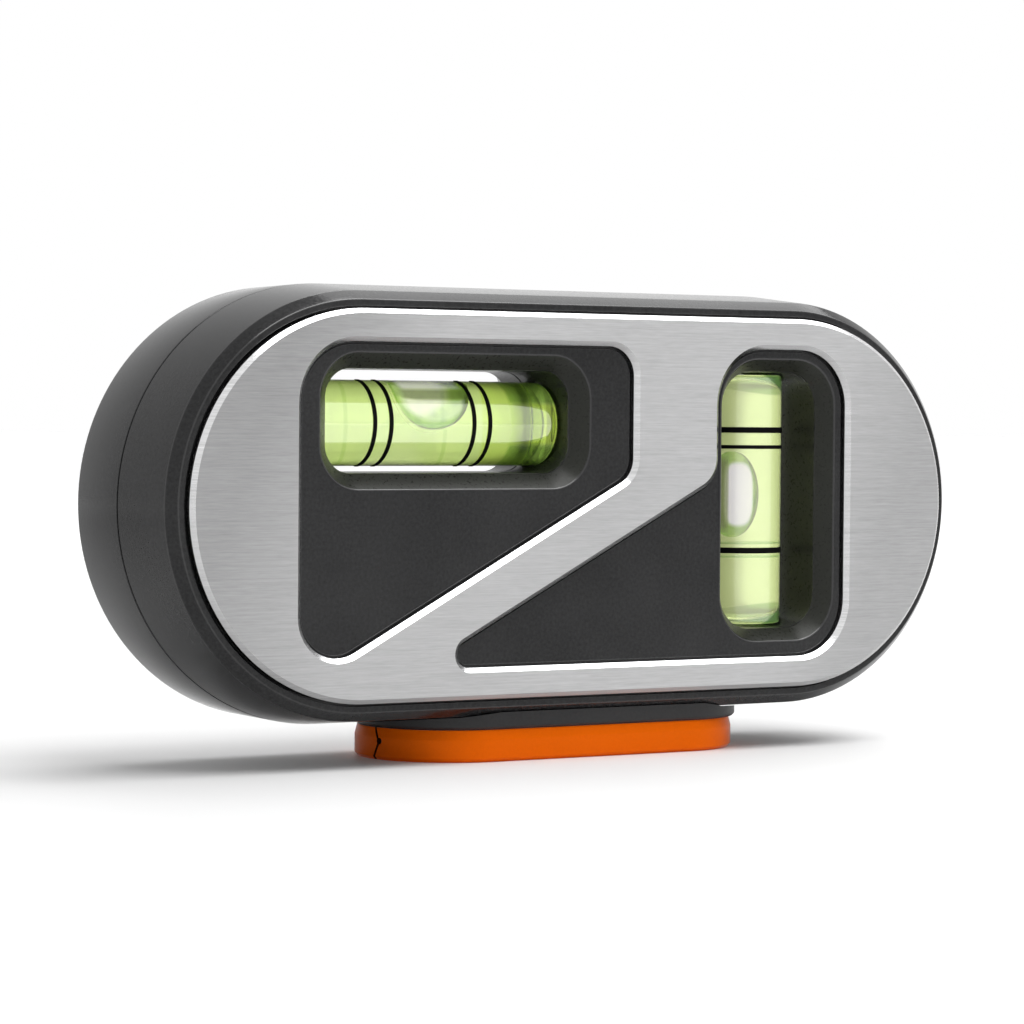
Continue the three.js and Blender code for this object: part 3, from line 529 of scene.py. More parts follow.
def cheek_end(side):
    """What is cut away past a cheek's end: a slope with a fillet at its top and its foot."""
    top = FLANGE_TOP + CHEEK_HEIGHT
    lip = FLANGE_TOP + LIP_HEIGHT
    start = CHEEK_MIDDLE + side * CHEEK_HALF
    far = CHEEK_MIDDLE + side * (CHEEK_HALF + FOOT_HALF + FOOT_RADIUS)
    line = [
        (start - side * CHEEK_FILLET, top + OVERRUN),
        (start - side * CHEEK_FILLET, top),
        (start, top),
        (start + side * CHEEK_SLOPES[side], lip),
        (far, lip),
        (far, top + OVERRUN),
    ]
    line = softened(line, [0, CHEEK_FILLET, CHEEK_FILLET, 0])
    ends = [(0, FOOT_DEPTH - FOOT_RADIUS - OVERRUN), (0, FOOT_DEPTH + FOOT_RADIUS + OVERRUN)]
    return solid("cheek_end", lambda growth: line, ends)


def housing_room():
    """The housing's outside, grown by the foot's gap."""
    slope = CHAMFER_WIDTH / CHAMFER_DEPTH
    profile = [
        (rim_outer + FOOT_GAP - slope * OVERRUN, RIM_DEPTH - OVERRUN),
        (shoulder_radius + FOOT_GAP, shoulder_depth),
        (PARTING_RADIUS + FOOT_GAP, (FRONT_SHELL_END + rear_start) / 2),
        (rear_shoulder + FOOT_GAP, BACK_DEPTH - REAR_CHAMFER),
        (rear_shoulder + FOOT_GAP - REAR_CHAMFER - OVERRUN, BACK_DEPTH + OVERRUN),
    ]
    return solid("housing_room", stadium, softened(profile, [CHAMFER_ROUND, 0, BACK_ROUND]))


def foot():
    outside = softened([
        (FOOT_RADIUS - 2 * FLANGE_EDGE, FLANGE_BOTTOM),
        (FOOT_RADIUS - FLANGE_EDGE, FLANGE_BOTTOM),
        (FOOT_RADIUS, FLANGE_BOTTOM + FLANGE_EDGE),
        (FOOT_RADIUS, FLANGE_TOP + CHEEK_HEIGHT),
    ], [EDGE_ROUND, EDGE_ROUND])
    saddle = solid("saddle", foot_plan, outside, lying=True)
    carve(saddle, [housing_room(), cheek_end(-1), cheek_end(1)])
    shoulder = BASE_BOTTOM + BASE_FLOOR + SEAM_GAP
    core_top = FLANGE_BOTTOM + FLANGE_EDGE
    core = solid("core", base_plan, [(CORE_RADIUS, shoulder), (CORE_RADIUS, core_top)], True)
    foot_face = BASE_BOTTOM + MAGNET_RECESS - MAGNET_GAP
    stem = solid("stem", base_plan, [(STEM_RADIUS, foot_face), (STEM_RADIUS, shoulder + FLANGE_EDGE)], True)
    carve(saddle, [core, stem], "UNION")
    for node in ("magnet_left", "magnet_right"):
        low, high = (Vector(corner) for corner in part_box(node))
        gap = Vector((MAGNET_GAP, MAGNET_GAP, 0)) * MM
        depth = Vector((0, 0, OVERRUN)) * MM
        carve(saddle, [block(low - gap - depth, high + gap)])
    return saddle


def block(low, high):
    """A box between two corners that are given in metres."""
    corners = ((low.x, low.y), (high.x, low.y), (high.x, high.y), (low.x, high.y))
    skin = Skin()
    rings = [skin.ring([Vector((x, y, z)) for x, y in corners]) for z in (low.z, high.z)]
    skin.bridge(*rings)
    for ring in rings:
        skin.fill(ring, axes=LYING)
    return skin.build("block")


pin_low, pin_high = (Vector(corner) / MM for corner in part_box("base_pin_left"))
PIN_HEIGHT = (pin_low.z + pin_high.z) / 2 - CENTRE_HEIGHT


def pin_spot(side):
    return lambda radius, along, angle: place(
        BASE_CENTRE + side * along,
        SEAM_DEPTH - SEAM_NOTCH + radius * math.cos(angle),
        PIN_HEIGHT + radius * math.sin(angle),
    )


def base_half(name, side):
    """The front (side -1) or rear (side 1) half of the base, up to the seam."""
    outside = softened([
        (BASE_RADIUS - 2 * BASE_EDGE, BASE_BOTTOM),
        (BASE_RADIUS - BASE_EDGE, BASE_BOTTOM),
        (BASE_RADIUS, BASE_BOTTOM + BASE_EDGE),
        (BASE_RADIUS, BASE_TOP - BASE_BEVEL[1]),
        (BASE_RADIUS - BASE_BEVEL[0], BASE_TOP),
        (BASE_RADIUS - BASE_BEVEL[0] - BASE_EDGE, BASE_TOP),
    ], [EDGE_ROUND, EDGE_ROUND, CHAMFER_ROUND, EDGE_ROUND / 2])
    half = solid(name, base_plan, outside, lying=True)
    inner = BASE_RADIUS - BASE_WALL
    room = [(inner, BASE_BOTTOM + BASE_FLOOR), (inner, BASE_TOP + OVERRUN)]
    hollow = solid("hollow", base_plan, room, True)
    floor = [(BASE_OPENING, BASE_BOTTOM - OVERRUN), (BASE_OPENING, BASE_BOTTOM + BASE_FLOOR + OVERRUN)]
    opening = solid("opening", base_plan, floor, True)
    reach = BASE_HALF + BASE_RADIUS
    bore = [(0, 0), (PIN_HOLE, 0), (PIN_HOLE, reach), (0, reach)]
    holes = [turned("pin_hole", bore, pin_spot(end), steps=PIN_STEPS) for end in (-1, 1)]
    carve(half, [hollow, opening] + holes)
    edge = SEAM_DEPTH + side * SEAM_GAP / 2
    far = FOOT_DEPTH + side * (BASE_RADIUS + OVERRUN)
    line = softened([
        (far, BASE_BOTTOM - OVERRUN),
        (edge, BASE_BOTTOM - OVERRUN),
        (edge, BASE_BOTTOM),
        (edge - SEAM_NOTCH, PIN_HEIGHT),
        (edge, BASE_TOP),
        (edge, BASE_TOP + OVERRUN),
        (far, BASE_TOP + OVERRUN),
    ], [0, 0, CHAMFER_ROUND, 0, 0])
    skin = Skin()
    ends = [
        skin.ring([place(BASE_CENTRE + end * (reach + OVERRUN), depth, height) for depth, height in line])
        for end in (-1, 1)
    ]
    skin.bridge(*ends)
    for loop in ends:
        skin.fill(loop, axes=ENDWAYS)
    carve(half, [skin.build("side")], "INTERSECT")
    # Faces in the seam take the second material: a painted shade in the gap between the halves
    low, high = (place(0, SEAM_DEPTH + side * SEAM_SHADE_REACH, 0).y for side in (-1, 1))
    for face in half.data.polygons:
        across = abs(face.normal.x) < SEAM_SHADE_NORMAL and abs(face.normal.y) > SEAM_SHADE_NORMAL
        face.material_index = int(across and low < face.center.y < high)
    return half


def screw(name, spot):
    """A domed head with a tapered cross recess, on a plain shank."""
    seat = BACK_DEPTH - SCREW_SEAT

    def around(radius, along, angle):
        x = spot[0] + radius * math.cos(angle)
        return place(x, seat + along, spot[1] + radius * math.sin(angle))

    rim = (SCREW_HEAD - SCREW_DOME, SCREW_HEIGHT - SCREW_DOME)
    crown = arc(*rim, SCREW_DOME, math.pi / 2, 0, CROWN_STEPS)
    profile = [(0, SCREW_HEIGHT)] + crown + [(SCREW_HEAD, 0), (SCREW_SHANK, 0)]
    profile += [(SCREW_SHANK, OVERRUN - SCREW_LENGTH), (0, OVERRUN - SCREW_LENGTH)]
    body = turned(name, profile, around, steps=SCREW_STEPS)
    cutters = []
    floor, top = SCREW_HEIGHT - RECESS_DEPTH, SCREW_HEIGHT + OVERRUN
    for length, width in ((RECESS_LENGTH, RECESS_WIDTH), (RECESS_WIDTH, RECESS_LENGTH)):
        x, y = length / 2, width / 2
        slot = [(-x, -y), (x, -y), (x, y), (-x, y)]
        walls = [(RECESS_TAPER, seat + floor), (RECESS_FLARE, seat + top)]
        cutters.append(solid(
            "recess", lambda scale: [(spot[0] + a * scale, spot[1] + b * scale) for a, b in slot], walls,
        ))
    carve(body, cutters)
    return body


# Face plate
def face_plate():
    skin = Skin()
    outer = softened([
        (PLATE_RADIUS - PLATE_BEVEL[0] - 2 * PLATE_SOFTENING, 0),
        (PLATE_RADIUS - PLATE_BEVEL[0], 0),
        (PLATE_RADIUS, PLATE_BEVEL[1]),
        (PLATE_RADIUS, PLATE_THICKNESS),
    ], [PLATE_SOFTENING, PLATE_SOFTENING])
    front_loop, back_loop = skin.loft(stadium, outer)
    front_holes, back_holes = [], []
    for cutout in (LEVEL_CUTOUT, PLUMB_CUTOUT):
        inner = softened([
            (CUTOUT_BEVEL[0] + 2 * PLATE_SOFTENING, 0),
            (CUTOUT_BEVEL[0], 0),
            (0, CUTOUT_BEVEL[1]),
            (0, PLATE_THICKNESS),
        ], [PLATE_SOFTENING, PLATE_SOFTENING])
        mouth_loop, rear_loop = skin.loft(lambda growth: filleted(cutout, growth), inner)
        front_holes.append(mouth_loop)
        back_holes.append(rear_loop)
    skin.fill(front_loop, *front_holes)
    skin.fill(back_loop, *back_holes)
    plate = skin.build("brushed_plate")
    # The bevels take the second material: lighter, with a painted highlight, and darker where they face
    # down, a painted shade
    for face in plate.data.polygons:
        face.material_index = int(abs(face.normal.y) < FLAT_NORMAL)
    return plate


# Vials: clear body, liquid inside it, air inside the liquid, each bounded by one surface
def vial_body(name, spot, low, high, edge):
    top = arc(VIAL_RADIUS - edge, high - edge, edge, math.pi / 2, 0, EDGE_STEPS)
    bottom = arc(VIAL_RADIUS - edge, low + edge, edge, 0, -math.pi / 2, EDGE_STEPS)
    return turned(name, [(0, high)] + top + bottom + [(0, low)], spot)


def vial_liquid(name, spot, low, high, wall, low_dome, high_dome):
    """The liquid, which leaves a wall and has a dome of the given height at each end."""
    ends = []
    for end, side, dome in ((low + wall, -1, low_dome), (high - wall, 1, high_dome)):
        angles = [math.pi / 2 * i / DOME_STEPS for i in range(DOME_STEPS)]
        curve = [(VIAL_BORE * math.cos(a), end + side * dome * (math.sin(a) - 1)) for a in angles]
        ends.append(curve + [(0, end)])
    return turned(name, ends[0][::-1] + ends[1], spot)


def squared(value):
    return math.copysign(abs(value) ** SECTION_SQUARENESS, value)


def bubble(name, spot, centre, half_length, half_width, depth, turn):
    """An egg against the wall of the bore, in the direction that turn gives."""
    reach = VIAL_BORE - BUBBLE_GAP
    skin = Skin()
    rings = []
    count, steps = BUBBLE_STEPS
    for k in range(count + 1):
        lean = math.pi * k / count
        along = -half_length * math.cos(lean)
        ring = []
        for i in range(steps):
            angle = math.tau * i / steps
            bulge = math.sin(lean) ** LENGTH_SQUARENESS
            up = reach + depth * bulge * squared(math.cos(angle))
            side = half_width * bulge * squared(math.sin(angle))
            radius = math.hypot(up, side)
            squeeze = min(1, reach / max(radius, TINY))
            ring.append(spot(radius * squeeze, centre + along, turn + math.atan2(side, up)))
        rings.append(skin.ring(ring))
    for one, other in zip(rings, rings[1:]):
        skin.bridge(one, other)
    return skin.build(name, sharp=BUBBLE_SHARP_ANGLE)


def ring_line(name, spot, at, front, width, reach):
    """A printed line round the vial, reach to either side of the angle that faces the front."""
    inner = VIAL_RADIUS + RING_GAP / 2
    outer = inner + RING_THICKNESS
    half = width / 2
    skin = Skin()
    sections = []
    for i in range(ROUND_STEPS + 1):
        angle = front - reach + 2 * reach * i / ROUND_STEPS
        corners = ((inner, at - half), (outer, at - half), (outer, at + half), (inner, at + half))
        sections.append(skin.ring([spot(radius, along, angle) for radius, along in corners]))
    for one, other in zip(sections, sections[1:]):
        skin.bridge(one, other)
    skin.faces += [tuple(sections[0]), tuple(reversed(sections[-1]))]
    return skin.build(name)


# Materials
class Surface:
    """A material with one Principled shader and helpers for its texture nodes."""

    def __init__(self, name):
        self.material = bpy.data.materials.new(name)
        self.material.use_nodes = True
        self.nodes = self.material.node_tree.nodes
        self.shader = self.nodes["Principled BSDF"]

    def set(self, **values):
        for name, value in values.items():
            self.shader.inputs[name.replace("_", " ")].default_value = value

    def add(self, kind, **values):
        node = self.nodes.new(kind)
        for name, value in values.items():
            setattr(node, name, value)
        return node

    def join(self, source, target):
        self.material.node_tree.links.new(source, target)

    def drive(self, **sockets):
        """Links sockets to the shader's inputs."""
        for name, socket in sockets.items():
            self.join(socket, self.shader.inputs[name.replace("_", " ")])

    def coordinate(self, kind="Object"):
        return self.add("ShaderNodeTexCoord").outputs[kind]

    def axes(self, kind="Object"):
        """The X, Y and Z of a texture coordinate."""
        split = self.add("ShaderNodeSeparateXYZ")
        self.join(self.coordinate(kind), split.inputs[0])
        return [split.outputs[axis] for axis in "XYZ"]

    def noise(self, scale, detail, roughness, stretch=(1, 1, 1)):
        """Noise over the object, stretched by a scale for each axis."""
        mapping = self.add("ShaderNodeMapping")
        mapping.inputs["Scale"].default_value = stretch
        self.join(self.coordinate(), mapping.inputs["Vector"])
        node = self.add("ShaderNodeTexNoise")
        for name, number in (("Scale", scale), ("Detail", detail), ("Roughness", roughness)):
            node.inputs[name].default_value = number
        self.join(mapping.outputs["Vector"], node.inputs["Vector"])
        return node.outputs["Fac"]

    def ramp(self, value, low, high, to_low=0, to_high=1):
        node = self.add("ShaderNodeMapRange")
        ends = {"From Min": low, "From Max": high, "To Min": to_low, "To Max": to_high}
        for name, number in ends.items():
            node.inputs[name].default_value = number
        self.join(value, node.inputs["Value"])
        return node.outputs["Result"]

    def math(self, operation, first, second=None):
        """A math node on a socket and another socket or a number."""
        node = self.add("ShaderNodeMath", operation=operation)
        self.join(first, node.inputs[0])
        if isinstance(second, (int, float)):
            node.inputs[1].default_value = second
        elif second is not None:
            self.join(second, node.inputs[1])
        return node.outputs[0]

    def product(self, first, *others):
        for other in others:
            first = self.math("MULTIPLY", first, other)
        return first

    def mix(self, amount, first, second):
        """A blend of two colours, each a tuple or a socket."""
        node = self.add("ShaderNodeMix", data_type="RGBA")
        self.join(amount, node.inputs["Factor"])
        for name, colour in (("A", first), ("B", second)):
            if isinstance(colour, tuple):
                node.inputs[name].default_value = (*colour, 1)
            else:
                self.join(colour, node.inputs[name])
        return node.outputs["Result"]

    def bump(self, height, distance, strength):
        node = self.add("ShaderNodeBump")
        node.inputs["Strength"].default_value = strength
        node.inputs["Distance"].default_value = distance
        self.join(height, node.inputs["Height"])
        self.drive(Normal=node.outputs["Normal"])


# Noises, as (scale, detail, roughness, stretch), and the ranges of a noise that shades run over
PLASTIC_CLOUD = (60, 3, 0.5)
PLASTIC_GRAIN = (2600, 3, 0.7)
PLASTIC_SPECKLE_RANGE = (0.7, 1.3)
PLASTIC_GRAIN_RANGE = (0.35, 0.65)
PLASTIC_GRAIN_STRENGTH = 0.5
STEEL_LONG_STREAKS = (1, 4, 0.6, (90, 1, 4200))
STEEL_SHORT_STREAKS = (1, 3, 0.6, (420, 1, 7000))
STEEL_CLOUD = (32, 2, 0.4, (1, 1, 1.4))
ACRYLIC_CLOUD = (90, 2, 0.5)
ACRYLIC_CLOUD_GAIN = 1.02
PLUG_SWIRL = (260, 2, 0.5, (1, 1, 2.5))
BUBBLE_SWIRL = (420, 2, 0.5)
PRINT_WEAR = (900, 4, 0.6)
FLOOR_CLOUD = (30, 3, 0.5)
NOISE_RANGE = (0.3, 0.7)

# Brushed steel: how much the clouds count, how far the tone of the streaks reaches to both sides of the
# middle, the slant of the painted shade towards the ends, where it starts and stops, where the painted
# shade under downward faces starts and stops, and the bump's strength
STEEL_CLOUD_SHARE = 0.5
STEEL_SPREAD = 0.6
STEEL_SHADE_SLANT = 0.4
STEEL_LEFT_SHADE = (-0.046, -0.026)
STEEL_RIGHT_SHADE = (0.03, 0.044)
STEEL_UNDER_SHADE = (-0.6, 0.2)
STEEL_STREAK_STRENGTH = 0.6

# Vials: the frosted back, and where the acrylic is a deeper green
VIAL_FROST = 1.5
VIAL_FROST_ROUGHNESS = 0.35
ACRYLIC_TINT = (0.78, 0.90, 0.50)
ACRYLIC_IOR = 1.49
LEVEL_END_START = -8.15
LEVEL_END_MIDDLE = 2.1
LEVEL_TIP_START = -7.2
LEVEL_TIP_BLEND = 1.2
LEVEL_LIME_BLEND = 0.3
LEVEL_BACK_RINGS = (0, 2)
LEVEL_BACK_WIDTH = 0.5
SWIRL_SHADES = (0.45, 0.62, 1, 0.7)
BACK_RING_GREEN = (0.50, 0.68, 0.26)
LIME = (0.62, 0.82, 0.12)
PLUG_GREEN = (0.27, 0.48, 0.13)
TIP_GREEN = (0.07, 0.15, 0.02)
PLUMB_CORNER_START = 14.4
PLUMB_CORNER_BLEND = 0.3
PLUMB_CORNER_SLOPE = 0.55
PLUMB_GHOSTS = (0.85, -0.75)
PLUMB_GHOST_WIDTH = 0.2
CORNER_GREEN = (0.10, 0.24, 0.05)
GHOST_GREEN = (0.30, 0.50, 0.17)
LINE_FADE = (0.35, 0.7)

# Bubbles: air in liquid, its clear middle and its painted glow, its green rim with painted highlights,
# and its dark line, a painted shade
AIR_IOR = 0.93
AIR_TINT = (0.97, 0.89, 1.0)
AIR_PAINTED_GLOW = 0.42
AIR_PAINTED_GLOW_TINT = (0.40, 0.30, 0.95)
RIM_FADE = (0.8, 1.25)
RIM_GREENS_AND_HIGHLIGHTS = ((0.30, 0.52, 0.13), (0.70, 0.88, 0.42))
RIM_SWIRL = (0.4, 0.65)
DARK_LINE_PAINTED_SHADE = (0.10, 0.12, 0.06)
DARK_LINE_BLEND = 0.15
DARK_LINE_ENDS = (1.0, 1.25, 0.9, 0)
# The angle about the plumb vial's axis at which its bubble's dark line, a painted shade, shows
PLUMB_LINE_ANGLE = math.radians(147)


def moulded_plastic(name, dark, light, rough, ior=1.4, grain=0.00003, sheen=(0, 0.5)):
    """Injection-moulded plastic with a spark-eroded grain and faint cloudy wear."""
    surface = Surface(name)
    cloud = surface.noise(*PLASTIC_CLOUD)
    fine = surface.noise(*PLASTIC_GRAIN)
    speckle = surface.math("ADD", cloud, fine)
    surface.drive(
        Base_Color=surface.mix(surface.ramp(speckle, *PLASTIC_SPECKLE_RANGE), dark, light),
        Roughness=surface.ramp(fine, *PLASTIC_GRAIN_RANGE, *rough),
    )
    surface.bump(fine, grain, PLASTIC_GRAIN_STRENGTH)
    surface.set(IOR=ior, Sheen_Weight=sheen[0], Sheen_Roughness=sheen[1])
    return surface.material


def brushed_steel(name, dark, light, rough, streak=0.000012, ends=(1.0, 1.0), under=1.0):
    """Steel brushed along X, with fine streaks, finer short ones and faint clouds. It is darker
    towards the left and right ends by the two factors, and by under where it faces down: painted shade."""
    surface = Surface(name)
    short_streaks = surface.noise(*STEEL_SHORT_STREAKS)
    streaks = surface.math("ADD", surface.noise(*STEEL_LONG_STREAKS), short_streaks)
    shade = surface.math("ADD", streaks, surface.product(surface.noise(*STEEL_CLOUD), STEEL_CLOUD_SHARE))
    middle = 1 + STEEL_CLOUD_SHARE / 2
    colour = surface.mix(surface.ramp(shade, middle - STEEL_SPREAD, middle + STEEL_SPREAD), dark, light)
    # Painted shade: darker towards the left and right ends, and where the surface faces down
    x, _, z = surface.axes()
    across = surface.math("ADD", x, surface.product(z, -STEEL_SHADE_SLANT))
    shift = place(0, 0, 0).z * STEEL_SHADE_SLANT
    left = surface.ramp(across, *(edge - shift for edge in STEEL_LEFT_SHADE), ends[0], 1)
    right = surface.ramp(across, *(edge - shift for edge in STEEL_RIGHT_SHADE), 1, ends[1])
    down = surface.ramp(surface.axes("Normal")[2], *STEEL_UNDER_SHADE, under, 1)
    scaled = surface.add("ShaderNodeVectorMath", operation="SCALE")
    surface.join(colour, scaled.inputs[0])
    surface.join(surface.product(left, right, down), scaled.inputs["Scale"])
    surface.drive(
        Base_Color=scaled.outputs["Vector"],
        Roughness=surface.ramp(short_streaks, *NOISE_RANGE, *rough),
    )
    surface.bump(streaks, streak, STEEL_STREAK_STRENGTH)
    surface.set(Metallic=1.0)
    return surface.material


def clear_solid(name, tint, ior, glow=0.0, painted_glow_colour=(1, 1, 1)):
    """A transparent body; the faint clouding is moulded strain, the glow a painted light.
    Returns the surface and the socket of its colour."""
    surface = Surface(name)
    lighter = tuple(min(1, channel * ACRYLIC_CLOUD_GAIN) for channel in tint)
    colour = surface.mix(surface.ramp(surface.noise(*ACRYLIC_CLOUD), *NOISE_RANGE), tint, lighter)
    surface.drive(Base_Color=colour)
    surface.set(
        Transmission_Weight=1.0, IOR=ior, Roughness=0.0,
        Emission_Color=(*painted_glow_colour, 1), Emission_Strength=glow,
    )
    return surface, colour


def polished_acrylic(name, deep, coat_ior, coat_roughness):
    """Acrylic with a glossy front and a frosted back that spreads the light. The function deep
    gives where it is a deeper green, because it has no bore behind it there."""
    surface, colour = clear_solid(name, ACRYLIC_TINT, ACRYLIC_IOR)
    x, y, z = surface.axes()
    axis = place(0, VIAL_DEPTH, 0).y
    frost = surface.ramp(y, axis, axis + VIAL_FROST * MM, 0, VIAL_FROST_ROUGHNESS)
    for amount, tint in deep(surface, x, y, z):
        colour = surface.mix(amount, colour, tint)
    surface.drive(Base_Color=colour, Roughness=frost)
    surface.set(Coat_Weight=1.0, Coat_IOR=coat_ior, Coat_Roughness=coat_roughness)
    return surface.material


def step(surface, value, start, blend=0.5):
    """0 up to a place and 1 past it, given in millimetres."""
    return surface.ramp(value, start * MM, (start + blend) * MM)


def away_from(surface, value, spot):
    return surface.math("ABSOLUTE", surface.math("SUBTRACT", value, spot))


def line_at(surface, value, spot, width):
    """1 within half a width of a place and 0 away from it; the place is in metres."""
    near, far = (share * width * MM for share in LINE_FADE)
    return surface.ramp(away_from(surface, value, spot), near, far, 1, 0)


def level_deep(surface, x, y, z):
    """A plug behind the bore's right end: dark crescents off the middle, then a lime tip."""
    aside = step(surface, away_from(surface, z, place(0, 0, LEVEL_HEIGHT).z), LEVEL_END_MIDDLE)
    middle = surface.math("ADD", surface.product(aside, -1), 1)
    streaks = surface.ramp(surface.noise(*PLUG_SWIRL), *SWIRL_SHADES)
    plug = surface.product(step(surface, x, LEVEL_END_START), aside)
    tip = surface.product(step(surface, x, LEVEL_TIP_START, LEVEL_TIP_BLEND), aside, streaks)
    lime = surface.product(step(surface, x, LEVEL_END_START, LEVEL_LIME_BLEND), middle)
    behind = surface.ramp(y, place(0, VIAL_DEPTH, 0).y, place(0, VIAL_DEPTH + 1, 0).y)
    backs = [line_at(surface, x, LEVEL_RINGS[i][0] * MM, LEVEL_BACK_WIDTH) for i in LEVEL_BACK_RINGS]
    return (
        (surface.product(behind, surface.math("ADD", *backs)), BACK_RING_GREEN),
        (lime, LIME),
        (plug, PLUG_GREEN),
        (tip, TIP_GREEN),
    )


def plumb_deep(surface, x, y, z):
    """Dark corners on the right at both ends, past the domes of the bore, and the green lines
    that the lower ring shows above and below itself."""
    away = away_from(surface, z, place(0, 0, (plumb_low + plumb_high) / 2).z)
    aside = surface.math("SUBTRACT", x, PLUMB_OFFSET * MM)
    slanted = surface.math("ADD", away, surface.product(aside, PLUMB_CORNER_SLOPE))
    ring = PLUMB_RINGS[2][0]
    ghosts = [line_at(surface, z, place(0, 0, ring + shift).z, PLUMB_GHOST_WIDTH) for shift in PLUMB_GHOSTS]
    return (
        (step(surface, slanted, PLUMB_CORNER_START, PLUMB_CORNER_BLEND), CORNER_GREEN),
        (surface.math("ADD", *ghosts), GHOST_GREEN),
    )


def bubble_air(name, spot, turn, along, out, line, shape, closed):
    """Air in liquid: clear and pale inside with a painted glow, with a green edge where the liquid shows in
    it, streaked with painted highlights, and a dark line at the side of the wall, a painted shade. The
    inner area has a centre and a half size along the vial, and out from its axis in the direction that turn
    gives;
    shape is the power of its outline, which is open or closed towards the wall. The dark line lies between
    two heights in it."""
    surface, _ = clear_solid(name, (1.0, 1.0, 1.0), AIR_IOR)
    origin = spot(0, 0, 0)
    places = []
    for end, (centre, half) in ((spot(0, 1, 0), along), (spot(1, 0, turn), out)):
        direction = (end - origin).normalized()
        dot = surface.add("ShaderNodeVectorMath", operation="DOT_PRODUCT")
        surface.join(surface.coordinate(), dot.inputs[0])
        dot.inputs[1].default_value = direction
        shifted = surface.math("SUBTRACT", dot.outputs["Value"], origin.dot(direction) + centre * MM)
        places.append(surface.math("DIVIDE", shifted, half * MM))
    ends = surface.math("ABSOLUTE", places[0])
    height = places[1]
    open_height = surface.math("ABSOLUTE", height if closed else surface.math("MINIMUM", height, 0))
    reach = surface.math("ADD", *(surface.math("POWER", value, shape) for value in (ends, open_height)))
    rim = surface.ramp(reach, *RIM_FADE)
    # The lighter greens streak the rim with painted highlights
    greens_and_highlights = surface.mix(surface.ramp(surface.noise(*BUBBLE_SWIRL), *RIM_SWIRL), *RIM_GREENS_AND_HIGHLIGHTS)
    # The dark line is a painted shade
    low, high = line
    dark = surface.product(
        surface.ramp(height, low, low + DARK_LINE_BLEND),
        surface.ramp(height, high, high + DARK_LINE_BLEND, 1, 0),
        surface.ramp(ends, *DARK_LINE_ENDS),
    )
    # The clear middle glows: a painted light
    clear = surface.product(surface.ramp(rim, 0, 1, 1, 0), surface.ramp(dark, 0, 0.5, 1, 0))
    surface.drive(
        Base_Color=surface.mix(dark, surface.mix(rim, AIR_TINT, greens_and_highlights), DARK_LINE_PAINTED_SHADE),
        Emission_Strength=surface.product(clear, AIR_PAINTED_GLOW),
    )
    surface.set(Emission_Color=(*AIR_PAINTED_GLOW_TINT, 1))
    return surface.material


def printed_line(name):
    surface = Surface(name)
    worn = surface.ramp(surface.noise(*PRINT_WEAR), *NOISE_RANGE)
    surface.drive(Base_Color=surface.mix(worn, (0.002, 0.002, 0.002), (0.006, 0.006, 0.006)))
    surface.set(Roughness=0.6, IOR=1.15)
    return surface.material


level_low, level_high = level_left + VIAL_END_GAP, level_right - VIAL_END_GAP
plumb_low, plumb_high = plumb_bottom + VIAL_END_GAP, plumb_top - VIAL_END_GAP

SHELL = moulded_plastic(
    "shell_plastic", (0.008, 0.008, 0.0086), (0.03, 0.03, 0.0308),
    rough=(0.08, 0.18), ior=1.33, grain=0.00002,
)
# Painted light: the walls in the windows are lighter and greener than the shell, a green light from the
# vials
WINDOW_PAINTED_LIGHT = moulded_plastic(
    "window_painted_green_light", (0.017, 0.018, 0.014), (0.027, 0.029, 0.023),
    rough=(0.26, 0.36), ior=1.32, grain=0.0000015,
)
# Painted highlight: the small rounds are lighter than the shell; their higher IOR gives them real gloss
EDGE_PAINTED_HIGHLIGHT = moulded_plastic(
    "edge_painted_highlight", (0.018, 0.018, 0.0186), (0.034, 0.034, 0.0348),
    rough=(0.12, 0.2), ior=1.5, grain=0.00001,
)
FOOT = moulded_plastic(
    "foot_plastic", (0.018, 0.018, 0.0186), (0.032, 0.032, 0.0328), rough=(0.4, 0.5), ior=1.35,
)
ORANGE = moulded_plastic(
    "orange_plastic", (0.90, 0.142, 0.0005), (0.96, 0.155, 0.001),
    rough=(0.32, 0.42), ior=1.12, grain=0.00001, sheen=(0.8, 0.25),
)
# Painted shade: the faces in the seam are a dark brown-orange
SEAM_PAINTED_SHADE = moulded_plastic(
    "seam_painted_shade", (0.04, 0.008, 0.001), (0.06, 0.012, 0.001), rough=(0.6, 0.7), ior=1.12,
)
SHEET = moulded_plastic("adhesive", (0.01, 0.01, 0.01), (0.014, 0.014, 0.014), rough=(0.7, 0.9))
# Painted shade: the face is darker towards its left and right ends
STEEL = brushed_steel(
    "brushed_face", (0.36, 0.36, 0.362), (0.60, 0.60, 0.605), rough=(0.28, 0.42), ends=(0.7, 0.83),
)
# The bevels are lighter than the face, partly polish and partly a painted highlight, and darker where they
# face down, a painted shade
BEVEL_POLISH_AND_PAINTED_LIGHT = brushed_steel(
    "polished_bevel_and_painted_light", (0.50, 0.50, 0.503), (0.86, 0.86, 0.865),
    rough=(0.16, 0.26), streak=0.000004, under=0.55,
)
BLACK_STEEL = brushed_steel("black_steel", (0.02, 0.02, 0.021), (0.035, 0.035, 0.036), rough=(0.35, 0.5))
MAGNET = brushed_steel("nickel", (0.45, 0.45, 0.46), (0.55, 0.55, 0.56), rough=(0.25, 0.35))
LINE = printed_line("printed_line")
LEVEL_ACRYLIC = polished_acrylic("level_acrylic", level_deep, coat_ior=2.6, coat_roughness=0.02)
PLUMB_ACRYLIC = polished_acrylic("plumb_acrylic", plumb_deep, coat_ior=2.2, coat_roughness=0.4)
